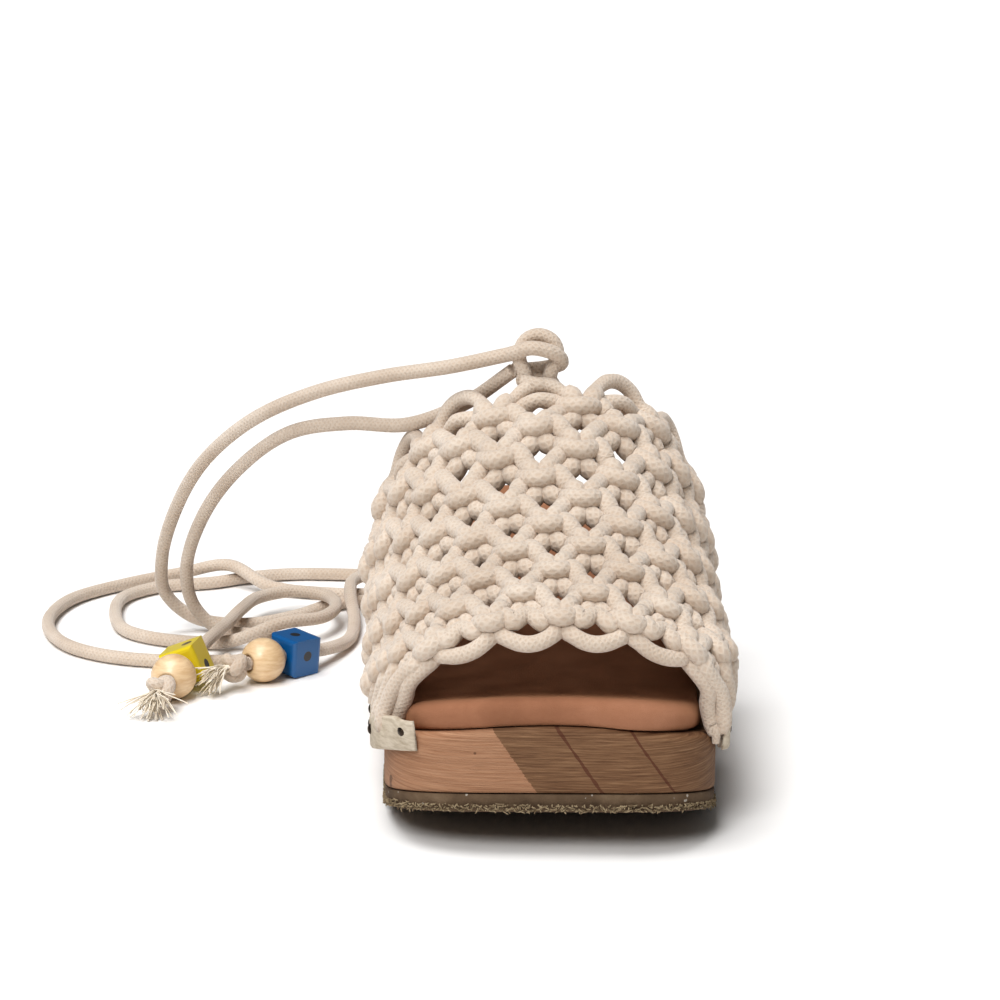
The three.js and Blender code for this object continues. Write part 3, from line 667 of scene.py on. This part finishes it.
def skirt_end(port):
    """The way of a side end down to the edge of the sole and beside the wood."""
    (row, column), kind, s = port
    sign = 1 if column > 0 else -1
    if row == 0:
        places = FRONT_LEGS[kind]
        x, y, _ = side_spot(places[-1][0], sign, 1.0)
        ends = [np.array([x, y, wood_top(x, y) + 2.0, 0.8]), np.array([x, y, wood_top(x, y) - 3.0, 0.45])]
        return [on_wall(r, sign * c, out) for r, c, out in places] + ends
    shift = {"petal": 0.26, "bar": 0.1, "arc": -0.1, "bit": -0.26}[kind]
    if row == 9 and kind in ("petal", "bar"):
        shift += 0.1
    r = clamp(row + shift, -0.15, 9.6)
    out = {"petal": 1.2, "bar": -0.6, "arc": 1.2, "bit": -0.2}[kind]
    x, y, _ = side_spot(r, sign, 1.3 + (0.4 if out > 0 else 0.0))
    edge = wood_top(x, y)
    near = sign * mix(abs(column), SKIRT_COLUMN, 0.55)
    return [
        on_wall(r, near, out),
        np.array([x, y, edge + 4.5, 0.85]),
        np.array([x, y, edge + 0.5, 0.5]),
        np.array([x, y, edge - 4.5, 0.4]),
    ]


# %% Trace every cord from end to end
by_port = {}
for n, (a, b, _) in enumerate(segments):
    by_port[a] = (n, 1)
    by_port[b] = (n, -1)
used = set()


def four(points):
    return [np.append(p, 1.05) if len(p) == 3 else np.asarray(p) for p in points]


def walk(port):
    """Follows the cord that enters at this port. Returns its points and whether it closes."""
    line = []
    start = port
    while True:
        n, way = by_port[port]
        if n in used:
            return line, port == start
        used.add(n)
        a, b, points = segments[n]
        line += four(points if way > 0 else points[::-1])
        end = b if way > 0 else a
        if end not in partner:
            return line + four(skirt_end(end)), False
        port = partner[end]
        line += four(middles[(end, port)])


net_lines, closed_lines = [], []
for port in [p for p in by_port if p not in partner]:
    if by_port[port][0] in used:
        continue
    line, _ = walk(port)
    net_lines.append(four(skirt_end(port))[::-1] + line)
for port in by_port:
    if by_port[port][0] not in used:
        line, _ = walk(port)
        closed_lines.append(line)
cords_open = [through(line, 1.15) for line in net_lines]
cords_closed = [through(line, 1.15, closed=True) for line in closed_lines]
print(
    f"net: {len(knots)} knots, {len(cords_open)} open and {len(cords_closed)} closed cords,",
    f"{sum(map(line_length, cords_open + cords_closed)) / 1000:.2f} m",
)
net = sweep("net_open", cords_open, cord_look, sides=12)
net_closed = sweep("net_closed", cords_closed, cord_look, sides=12, closed=True)
for piece in (net, net_closed):
    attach(piece, "root")
    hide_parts("upper")
    print(piece.name, len(piece.data.polygons), "faces")

# %% [markdown]
# ## Throat knot
#
# An upright loop of cord stands behind the collar's middle loop. Both ties are one cord that wraps
# round it, and a short band holds its two stems together.

# %% Throat knot
RING = [
    (-4.6, 115.5, 106), (-6.5, 116, 112.5), (-8.2, 116.8, 117.5), (-6.2, 117.2, 122.6), (-2, 117, 124.2),
    (2, 116.6, 122.4), (3.4, 116.4, 118.2), (1.6, 116, 113.5), (0, 115.5, 106),
]
WRAP = [
    (-11.1, 116.8, 118.4), (-8.5, 114.6, 119.6), (-5, 112.8, 121), (-1, 112.6, 120.6), (3.5, 114.4, 118.5),
    (4.6, 117.5, 115.4), (0, 120.2, 113.6), (-5, 120.4, 113), (-10, 118.6, 113),
]
BAND = [
    (-7, 114.5, 110.6), (-2.6, 112, 110), (1.8, 114.2, 109.4), (1.2, 118.4, 109.6),
    (-2.8, 119.6, 110.2), (-6.6, 118, 110.8),
]
knot_cords = [through(RING, 1.2), through(WRAP, 1.2), through(BAND + BAND[:1], 1.2)]
throat = sweep("throat_knot_cords", knot_cords, cord_look, sides=12)
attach(throat, "root")
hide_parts("throat_knot")

# %% [markdown]
# ## Meshes from points
#
# `mesh_piece` makes a piece from shoe coordinates, `slab` makes a layer of the sole, and `lathe`
# turns a profile about an axis.


# %% Mesh builders
def mesh_piece(name, points, faces, material, node=None):
    made = bpy.data.meshes.new(name)
    made.from_pydata([tuple(p) for p in to_row(points)], [], [tuple(f) for f in faces])
    made.materials.append(material)
    made.shade_smooth()
    piece = bpy.data.objects.new(name, made)
    bpy.context.collection.objects.link(piece)
    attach(piece, "root")
    if node:
        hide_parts(node)
    return piece


FRONT_EDGE = 0.0019
TOE_ROWS = FRONT_EDGE + (0.18 - FRONT_EDGE) * np.linspace(0, 1, 22) ** 2
HEEL_ROWS = 1 - 0.16 * np.linspace(1, 0, 20) ** 2
SOLE_ROWS = np.concatenate([TOE_ROWS, np.linspace(0.18, 0.84, 44)[1:-1], HEEL_ROWS])
STRIPS = 22


def slab(name, levels, bottom, top, material, node):
    """A layer of the sole. A level is (inset at the sides, inset at the front, rise from 0 to 1)."""
    points, index, faces = [], {}, []
    last = len(SOLE_ROWS) - 1

    def vertex(row, strip, level):
        corner = (row, strip, level)
        if corner not in index:
            share = SOLE_ROWS[row]
            inset, front, rise = levels[level]
            across = 2 * strip / STRIPS - 1
            x = across * half_width(share, math.copysign(1, across), inset)
            y = along_sole(share, x, inset) - (inset - front) * (1 - share)
            index[corner] = len(points)
            points.append((x, y, mix(bottom(x, y), top(x, y), rise)))
        return index[corner]

    top_level = len(levels) - 1
    for r in range(last):
        for s in range(STRIPS):
            corners = [(r, s), (r, s + 1), (r + 1, s + 1), (r + 1, s)]
            faces.append([vertex(*c, top_level) for c in corners])
            faces.append([vertex(*c, 0) for c in corners][::-1])
    rim = [(0, s) for s in range(STRIPS)] + [(r, STRIPS) for r in range(last)]
    rim += [(last, s) for s in range(STRIPS, 0, -1)] + [(r, 0) for r in range(last, 0, -1)]
    for level in range(top_level):
        for (r, s), (r2, s2) in zip(rim, rim[1:] + rim[:1]):
            low = [vertex(r, s, level), vertex(r2, s2, level)]
            high = [vertex(r2, s2, level + 1), vertex(r, s, level + 1)]
            faces.append(low + high)
    return mesh_piece(name, points, faces, material, node)


def axes_along(direction):
    along = np.asarray(direction, float) / np.linalg.norm(direction)
    side = np.cross(along, (0, 0, 1.0))
    side /= np.linalg.norm(side)
    return along, side, np.cross(side, along)


def lathe(name, profile, middle, direction, material, node, sides=48):
    """A closed profile of (radius, place along the axis) turned about the axis."""
    along, side, up = axes_along(direction)
    points, faces = [], []
    for k in range(sides):
        turn = 2 * math.pi * k / sides
        ray = math.cos(turn) * side + math.sin(turn) * up
        points += [np.asarray(middle) + ray * r + along * a for r, a in profile]
    count = len(profile)
    for k in range(sides):
        for n in range(count):
            a, b = k * count + n, k * count + (n + 1) % count
            c, d = ((k + 1) % sides) * count + (n + 1) % count, ((k + 1) % sides) * count + n
            faces.append([a, b, c, d])
    return mesh_piece(name, points, faces, material, node)


# %% [markdown]
# ## Sole
#
# Rubber, wood and suede. The wood is glued up from slanting boards, so its front face shows two
# dark reddish glue lines and a warmer board on the outer side, with fine saw marks.


# %% Wood
BOARD_LEAN = 0.68
BOARD_EDGE = 8.5
GLUE_LINES = ((26.5, 0.55), (46.0, 0.4))
BEVEL = 0.9


def shoe_axes(s):
    """Object coordinates as shoe millimetres: x, y and z."""
    parts = s.add("SeparateXYZ", {0: s.add("TexCoord").outputs["Object"]})
    millimetres = [s.maths("MULTIPLY", parts.outputs[k], 1000.0) for k in range(3)]
    return [s.maths("SUBTRACT", value, float(shift)) for value, shift in zip(millimetres, SHIFT)]


def wood_material():
    s = Shader("sawn wood")
    x, y, z = shoe_axes(s)
    grain = s.noise(s.place((9, 9, 260)), 9.0, 6.0, 0.62, 0.5)
    saw = s.noise(s.place((30, 30, 2600)), 1.0, 3.0, 0.7)
    pores = s.noise(s.place((120, 60, 900)), 5.0, 2.0, 0.6)
    base = s.ramp(grain, [(0.3, rgb(92, 64, 44)), (0.5, rgb(126, 94, 68)), (0.72, rgb(156, 124, 94))])
    lean = s.maths("ADD", x, s.maths("MULTIPLY", z, BOARD_LEAN))
    ragged = s.maths("MULTIPLY", s.maths("SUBTRACT", saw, 0.5), 1.6)
    board = s.maths("LESS_THAN", s.maths("ADD", lean, ragged), BOARD_EDGE)
    warm = s.ramp(grain, [(0.3, rgb(164, 120, 90)), (0.7, rgb(192, 150, 120))])
    base = s.colour_mix(s.maths("MULTIPLY", board, 0.85), base, warm)
    for place, width in GLUE_LINES:
        away = s.maths("ABSOLUTE", s.maths("SUBTRACT", lean, place))
        line = s.maths("LESS_THAN", away, s.maths("MULTIPLY", s.noise(s.place(), 300.0, 2.0), width * 2))
        base = s.colour_mix(s.maths("MULTIPLY", line, 0.7), base, rgb(84, 42, 28))
    base = s.colour_mix(s.maths("MULTIPLY", s.maths("SUBTRACT", 0.62, saw), 0.9), base, rgb(78, 50, 34))
    stains = s.maths("GREATER_THAN", s.noise(s.place(), 130.0, 2.0), 0.68)
    base = s.colour_mix(s.maths("MULTIPLY", stains, 0.55), base, rgb(60, 38, 26))
    height = s.maths("ADD", s.maths("MULTIPLY", saw, 0.8), s.maths("MULTIPLY", pores, 0.5))
    return s.finish(
        Base_Color=base, Roughness=0.72, Specular_IOR_Level=0.3, Normal=s.bump(height, 0.7, 0.0005),
    )


def wood_bottom(x, y):
    return ground(x, y) + RUBBER + SEAM


wood_levels = [
    (BEVEL, BEVEL, 0.0), (BEVEL * 0.5, BEVEL * 0.5, 0.03), (0.3, 0.3, 0.08), (0.3, 0.3, 0.3),
    (0.3, 0.3, 0.6), (0.3, 0.3, 0.86), (0.5, 0.5, 0.92), (1.2, 1.0, 0.97), (0.3 + WOOD_ROUND, 1.6, 1.0),
]
slab("wood_body", wood_levels, wood_bottom, wood_top, wood_material(), "wood_sole")


# %% Suede footbed
FRONT_PLUMP = 1.0


def suede_material():
    s = Shader("tan suede")
    here = s.place()
    nap = s.noise(here, 2600.0, 4.0, 0.7)
    cloud = s.noise(here, 45.0, 4.0, 0.6)
    base = s.ramp(cloud, [(0.3, rgb(146, 104, 80)), (0.55, rgb(166, 120, 94)), (0.75, rgb(178, 132, 106))])
    base = s.colour_mix(s.maths("MULTIPLY", nap, 0.35), base, rgb(128, 82, 58))
    return s.finish(
        Base_Color=base, Roughness=0.95, Specular_IOR_Level=0.12, Sheen_Weight=0.5, Sheen_Roughness=0.5,
        Sheen_Tint=rgb(220, 170, 130), Normal=s.bump(nap, 0.5, 0.0004),
    )


def insole_bottom(x, y):
    return wood_top(x, y) + SEAM


def insole_top(x, y):
    """The footbed is a little thicker at its front."""
    return insole_bottom(x, y) + INSOLE + FRONT_PLUMP * soft(1 - y / 40)


rolled_edge = [
    (1.6, 2.2, 0.0), (0.5, 1.1, 0.12), (0.0, 0.6, 0.3), (0.0, 0.6, 0.55), (0.3, 1.0, 0.74),
    (1.1, 2.0, 0.88), (2.4, 3.4, 0.96), (4.2, 5.2, 1.0),
]
insole_levels = [(INSOLE_MARGIN + inset, front, rise) for inset, front, rise in rolled_edge]
slab("footbed", insole_levels, insole_bottom, insole_top, suede_material(), "insole")


# %% [markdown]
# The rubber is a thin sheet. Its lower edge is worn to a beige fluff, made as many short, thin
# fibres round the whole outline.


# %% Rubber
def rubber_material():
    s = Shader("rubber sheet")
    here = s.place()
    grit = s.noise(here, 1500.0, 4.0, 0.7)
    cloud = s.noise(here, 90.0, 4.0, 0.6)
    base = s.ramp(cloud, [(0.3, rgb(80, 64, 50)), (0.6, rgb(106, 88, 70)), (0.8, rgb(126, 108, 88))])
    nicks = s.maths("GREATER_THAN", s.noise(here, 420.0, 1.0), 0.735)
    base = s.colour_mix(s.maths("MULTIPLY", nicks, 0.6), base, rgb(200, 194, 184))
    normal = s.bump(grit, 0.6, 0.0004)
    return s.finish(Base_Color=base, Roughness=0.9, Specular_IOR_Level=0.25, Normal=normal)


def fluff_material():
    s = Shader("worn fibres")
    shade = s.noise(s.place(), 700.0, 2.0)
    base = s.ramp(shade, [(0.3, rgb(112, 96, 76)), (0.7, rgb(168, 152, 126))])
    return s.finish(Base_Color=base, Roughness=1.0, Specular_IOR_Level=0.1)


def rubber_top(x, y):
    return ground(x, y) + RUBBER


rubber_levels = [
    (1.4, 1.2, 0.0), (0.9, 0.7, 0.12), (0.6, 0.4, 0.25), (0.5, 0.3, 0.6), (0.5, 0.3, 0.94), (0.8, 0.6, 1.0),
]
slab("rubber_sheet", rubber_levels, ground, rubber_top, rubber_material(), "outsole")


def outline_points(step):
    """Places round the sole's outline, step millimetres apart, with their outward directions."""
    shares = np.linspace(0, 1, 400)
    ring = []
    for sign, order in ((1, shares), (-1, shares[::-1])):
        for share in order:
            x = sign * half_width(share, sign, 0.6)
            ring.append((x, along_sole(share, x)))
    closed = np.array(ring + ring[:1])
    gaps = np.linalg.norm(np.diff(closed, axis=0), axis=1)
    lengths = np.concatenate([[0], np.cumsum(gaps)])
    places = np.arange(0, lengths[-1], step)
    spots = np.column_stack([np.interp(places, lengths, closed[:, k]) for k in range(2)])
    tangents = np.roll(spots, -1, axis=0) - np.roll(spots, 1, axis=0)
    outward = np.column_stack([tangents[:, 1], -tangents[:, 0]])
    return spots, outward / np.maximum(np.linalg.norm(outward, axis=1), 1e-6)[:, None]


def fibre_spot(root, ox, oy, reach, slide, drop):
    """A place on a fibre, outward, sideways and down from its root."""
    far = 0.3 + reach
    return root + np.array([ox * far - oy * slide, oy * far + ox * slide, -drop])


fluff_rng = np.random.default_rng(11)
spots, outward = outline_points(0.55)
fibres = []
for (x, y), (ox, oy) in zip(spots, outward):
    low = ground(x, y)
    for _ in range(2):
        start = fluff_rng.uniform(0.5, 2.3)
        reach = fluff_rng.uniform(0.25, 0.9)
        slide = fluff_rng.normal(0, 0.9)
        drop = fluff_rng.uniform(-0.5, 0.9)
        a = np.array([x - ox * 0.3, y - oy * 0.3, low + start])
        b = fibre_spot(a, ox, oy, reach * 0.6, slide * 0.4, drop * 0.4)
        c = fibre_spot(a, ox, oy, reach, slide, drop)
        line = np.array([a, b, c])
        line[:, 2] = np.maximum(line[:, 2], 0.35)
        fibres.append(np.column_stack([line, [1.2, 1.0, 0.5]]))
fluff = sweep("worn_edge", fibres, fluff_material(), radius=0.26, sides=3)
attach(fluff, "root")
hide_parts("outsole")

# %% [markdown]
# ## Leather side strips
#
# A strip is nailed along each side of the wood over the cord ends, with dark round nails. The
# outer one starts round the toe's corner. The front end of each curls away a little.


# %% Strips
def strip_material():
    s = Shader("strip leather")
    here = s.place()
    crease = s.noise(s.place((1, 1, 4)), 240.0, 5.0, 0.65)
    tones = [(0.3, rgb(172, 158, 138)), (0.55, rgb(200, 188, 170)), (0.75, rgb(212, 202, 186))]
    base = s.ramp(crease, tones)
    nail = s.add("Attribute", attribute_name="nail").outputs["Fac"]
    base = s.colour_mix(nail, base, rgb(70, 60, 52))
    rough = s.maths("SUBTRACT", 0.85, s.maths("MULTIPLY", nail, 0.5))
    return s.finish(
        Base_Color=base, Roughness=rough, Metallic=nail, Specular_IOR_Level=0.3,
        Normal=s.bump(s.maths("ADD", crease, s.noise(here, 2200.0, 3.0)), 0.5, 0.0004),
    )


STRIP = 1.445
STRIP_HEIGHT = 10.0
STRIP_GAP = 2.2
STRIP_BACK = SIDE_FRONT + SIDE_LENGTH
NAILS = 7
NAIL_SIDES = 12
NAIL_RINGS = [(1.5, 0.0), (1.3, 0.45), (0.7, 0.75), (0.02, 0.85)]
strip_look = strip_material()


def strip_top(x, y):
    """The strip stands a little above the wood's edge, most at the toe."""
    return wood_top(x, y) + 3.0 + 2.0 * soft(1 - (y - 14) / 30)


def strip_gap(share):
    """Space between the sole's side and the strip, narrower at the toe."""
    return mix(0.5, STRIP_GAP, soft((share - 0.04) / 0.03))


def nail_head(share, sign, first):
    """Points and faces of a nail head on the strip, whose first point gets the number first."""
    away = strip_gap(share) + STRIP
    x = sign * half_width(share, sign, -away)
    y = along_sole(share, x)
    ahead = sign * half_width(share + 0.004, sign, -away)
    step = np.array([ahead - x, along_sole(share + 0.004, ahead) - y, 0.0])
    side = step / np.linalg.norm(step)
    out = np.array([side[1], -side[0], 0.0]) * sign
    middle = np.array([x, y, strip_top(x, y) - STRIP_HEIGHT * 0.42])
    points, faces = [], []
    for radius, height in NAIL_RINGS:
        for k in range(NAIL_SIDES):
            turn = 2 * math.pi * k / NAIL_SIDES
            ray = math.cos(turn) * side + math.sin(turn) * np.array([0, 0, 1.0])
            points.append(middle + out * height + radius * ray)
    for level in range(len(NAIL_RINGS) - 1):
        ring = first + level * NAIL_SIDES
        for k in range(NAIL_SIDES):
            a, b = ring + k, ring + (k + 1) % NAIL_SIDES
            faces.append([a, b, b + NAIL_SIDES, a + NAIL_SIDES])
    return points, faces


def side_strip(name, sign, node, front, curl):
    profile = [(0, 0.0), (0.7, 0.02), (1, 0.1), (1, 0.5), (1, 0.9), (0.7, 0.98), (0, 1.0), (0, 0.5)]
    shares = mix(front / SOLE_LENGTH, STRIP_BACK / SOLE_LENGTH, np.linspace(0, 1, 90) ** 1.5)
    points, faces = [], []
    for share in shares:
        end = soft(1 - (share - shares[0]) * SOLE_LENGTH / 7.0)
        for out, up in profile:
            ripple = 0.25 * math.sin(share * 120 + sign) * up
            flare = curl * end * (0.3 + 0.7 * up)
            x = sign * half_width(share, sign, -(strip_gap(share) + STRIP * out + ripple + flare))
            y = along_sole(share, x)
            z = strip_top(x, y) - STRIP_HEIGHT * (1 - up) - (1.2 * end if up > 0.8 else 0)
            points.append((x, y, z))
    sides = len(profile)
    for n in range(len(shares) - 1):
        for k in range(sides):
            a, b = n * sides + k, n * sides + (k + 1) % sides
            faces.append([a, b, b + sides, a + sides])
    faces.append(list(range(sides))[::-1])
    faces.append([(len(shares) - 1) * sides + k for k in range(sides)])
    leather = len(points)
    for place in np.linspace(front + 2.6, STRIP_BACK - 6, NAILS):
        nail_points, nail_faces = nail_head(place / SOLE_LENGTH, sign, len(points))
        points += nail_points
        faces += nail_faces
    nail = [0.0] * leather + [1.0] * (len(points) - leather)
    piece = mesh_piece(name, points, faces, strip_look, node)
    piece.data.attributes.new("nail", "FLOAT", "POINT").data.foreach_set("value", nail)


side_strip("strip_outer", -1, "side_strip_outer", 4.6, 1.4)
side_strip("strip_inner", 1, "side_strip_inner", 16.0, 1.8)

# %% [markdown]
# ## Beads and frayed end knots
#
# They follow each other along the last stretch of each tie. Each of a cube's four faces beside
# its bore has one plain dark dot.

# %% Beads
CUBE = 12.4
ROUND = 14.7
BORE = 5.8
END_KNOT = 10.5
BEAD_GAP = 0.4
DOT = 1.7


def cube_paint(name, colour, middle, direction):
    s = Shader(name)
    here = [s.maths("SUBTRACT", value, float(middle[k])) for k, value in enumerate(shoe_axes(s))]

    def reach(axis):
        parts = [s.maths("MULTIPLY", here[k], float(axis[k])) for k in range(3)]
        return s.maths("ABSOLUTE", s.maths("ADD", s.maths("ADD", parts[0], parts[1]), parts[2]))

    def dot(a, b):
        square = s.maths("ADD", s.maths("POWER", a, 2.0), s.maths("POWER", b, 2.0))
        return s.maths("LESS_THAN", s.maths("SQRT", square), DOT)

    along, side, up = (reach(axis) for axis in axes_along(direction))
    dots = s.maths("MAXIMUM", dot(along, side), dot(along, up))
    base = s.colour_mix(dots, colour, rgb(28, 26, 26))
    wear = s.noise(s.place(), 500.0, 2.0)
    return s.finish(
        Base_Color=base, Roughness=0.3, Coat_Weight=0.5, Coat_Roughness=0.15,
        Normal=s.bump(wear, 0.2, 0.0002),
    )


def bead_wood_material():
    s = Shader("pale bead wood")
    rings = s.noise(s.place((1, 1, 5)), 160.0, 4.0, 0.6)
    base = s.ramp(rings, [(0.3, rgb(214, 178, 134)), (0.7, rgb(240, 214, 176))])
    return s.finish(Base_Color=base, Roughness=0.4, Coat_Weight=0.35, Coat_Roughness=0.2)


bead_wood = bead_wood_material()


def round_bead(letter, middle, direction):
    radius, bore = ROUND / 2, BORE / 2
    turn = math.acos(bore / radius)
    outer = [(radius * math.cos(a), radius * math.sin(a)) for a in np.linspace(-turn, turn, 20)]
    node = f"round_bead_{letter}"
    lathe(f"round_{letter}", outer, middle, direction, bead_wood, node)


# %% Frayed end knots
def trefoil(middle, direction, size):
    along, side, up = axes_along(direction)
    turns = np.linspace(0, 2 * math.pi, 46)
    a = np.sin(turns) + 2 * np.sin(2 * turns)
    b = np.cos(turns) - 2 * np.cos(2 * turns)
    c = -np.sin(3 * turns)
    return middle + size * (a[:, None] * side + b[:, None] * up + 1.5 * c[:, None] * along)


def fray_material():
    s = Shader("frayed cotton")
    shade = s.noise(s.place(), 400.0, 2.0)
    base = s.ramp(shade, [(0.3, rgb(226, 212, 190)), (0.7, rgb(246, 238, 224))])
    return s.finish(Base_Color=base, Roughness=1.0, Specular_IOR_Level=0.1, Sheen_Weight=0.3)


fray_look = fray_material()


def fray(middle, direction, seed, count=90):
    rnd = np.random.default_rng(seed)
    along, side, up = axes_along(direction)
    strands = []
    for _ in range(count):
        turn, spread = rnd.uniform(0, 2 * math.pi), abs(rnd.normal(0, 0.5))
        ray = math.cos(turn) * side + math.sin(turn) * up * 0.6
        length = rnd.uniform(6.0, 11.0)
        root = middle + along * 3.0 + ray * rnd.uniform(0, 1.8)
        points = []
        for t in np.linspace(0, 1, 7):
            sway = 0.7 * math.sin(t * 4 + turn * 3) * t
            spot = root + along * length * t + ray * spread * length * t**1.4 + side * sway
            spot = spot - np.array([0, 0, 3.0 * t**2])
            spot[2] = max(spot[2], 0.4)
            points.append(np.append(spot, 1.0 - 0.4 * t))
        strands.append(np.array(points))
    return strands


# %% What each tie carries
threaded = {
    "a": (TIE_A, rgb(222, 200, 38), "yellow_paint"),
    "b": (TIE_B, rgb(0, 92, 152), "blue_paint"),
}
for seed, (letter, (route, colour, slot)) in enumerate(threaded.items()):
    start, end = (np.array(p, float) for p in route[-2:])
    direction = (end - start) / np.linalg.norm(end - start)
    to_round = CUBE / 2 + BEAD_GAP + ROUND / 2
    to_knot = to_round + ROUND / 2 + BEAD_GAP + END_KNOT * 0.45
    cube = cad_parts[f"cube_bead_{letter}"]
    cube.data.materials.clear()
    cube.data.materials.append(cube_paint(slot, colour, start, direction))
    round_bead(letter, start + direction * to_round, direction)
    middle = start + direction * to_knot
    tangle_line = trefoil(middle, direction, 1.15)
    tangle = sweep(f"end_knot_{letter}_cord", [tangle_line], cord_look, radius=2.0, sides=10)
    strands = fray(middle, direction, 20 + seed)
    tuft = sweep(f"end_knot_{letter}_fray", strands, fray_look, radius=0.3, sides=4)
    for piece in (tangle, tuft):
        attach(piece, "root")
        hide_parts(f"end_knot_{letter}")

# %% [markdown]
# ## Floor and light
#
# A pale floor with a faint sheen, a wide soft sun from above, a narrower one from in front, and a
# weak white world.

# %% Stage
floor_shader = Shader("floor")
matt = floor_shader.add("BsdfDiffuse", {"Color": rgb(250, 249, 248)}).outputs[0]
sheen = floor_shader.add("BsdfGlossy", {"Color": (1, 1, 1, 1), "Roughness": 0.08}).outputs[0]
blend = floor_shader.add("MixShader", {0: 0.05, 1: matt, 2: sheen}).outputs[0]
floor_shader.links.new(blend, floor_shader.nodes["Material Output"].inputs[0])
floor_look = floor_shader.material
bpy.ops.mesh.primitive_plane_add(size=14.0, location=(0, 1.0, 0))
floor = bpy.context.object
floor.name = "floor"
floor.data.materials.append(floor_look)


def sun_light(name, spot, strength, softness):
    data = bpy.data.lights.new(name, "SUN")
    data.energy = strength
    data.angle = math.radians(softness)
    light = bpy.data.objects.new(name, data)
    light.location = spot
    light.rotation_euler = (-Vector(spot)).to_track_quat("-Z", "Y").to_euler()
    bpy.context.collection.objects.link(light)


sun_light("key", (-0.25, -0.1, 1.3), 1.95, 40)
sun_light("front", (-0.35, -0.9, 1.0), 1.5, 25)
world = bpy.data.worlds.new("studio")
bpy.context.scene.world = world
world.use_nodes = True
world.node_tree.nodes["Background"].inputs[0].default_value = (1, 1, 1, 1)
world.node_tree.nodes["Background"].inputs[1].default_value = 0.12
bpy.context.scene.view_settings.view_transform = "Standard"
bpy.context.scene.view_settings.look = "Medium High Contrast"

# %% [markdown]
# ## Declarations
#
# Each tie is a cord of the length of its own route, and it carries its beads and its end knot. The
# throat knot goes with tie a.

# %% Cords
TIE_PIECES = {
    letter: [f"cube_bead_{letter}", f"round_{letter}", f"end_knot_{letter}_cord", f"end_knot_{letter}_fray"]
    for letter in tie_lines
}
TIE_PIECES["a"].append("throat_knot_cords")
for letter in ("a", "b"):
    line = tie_lines[letter]
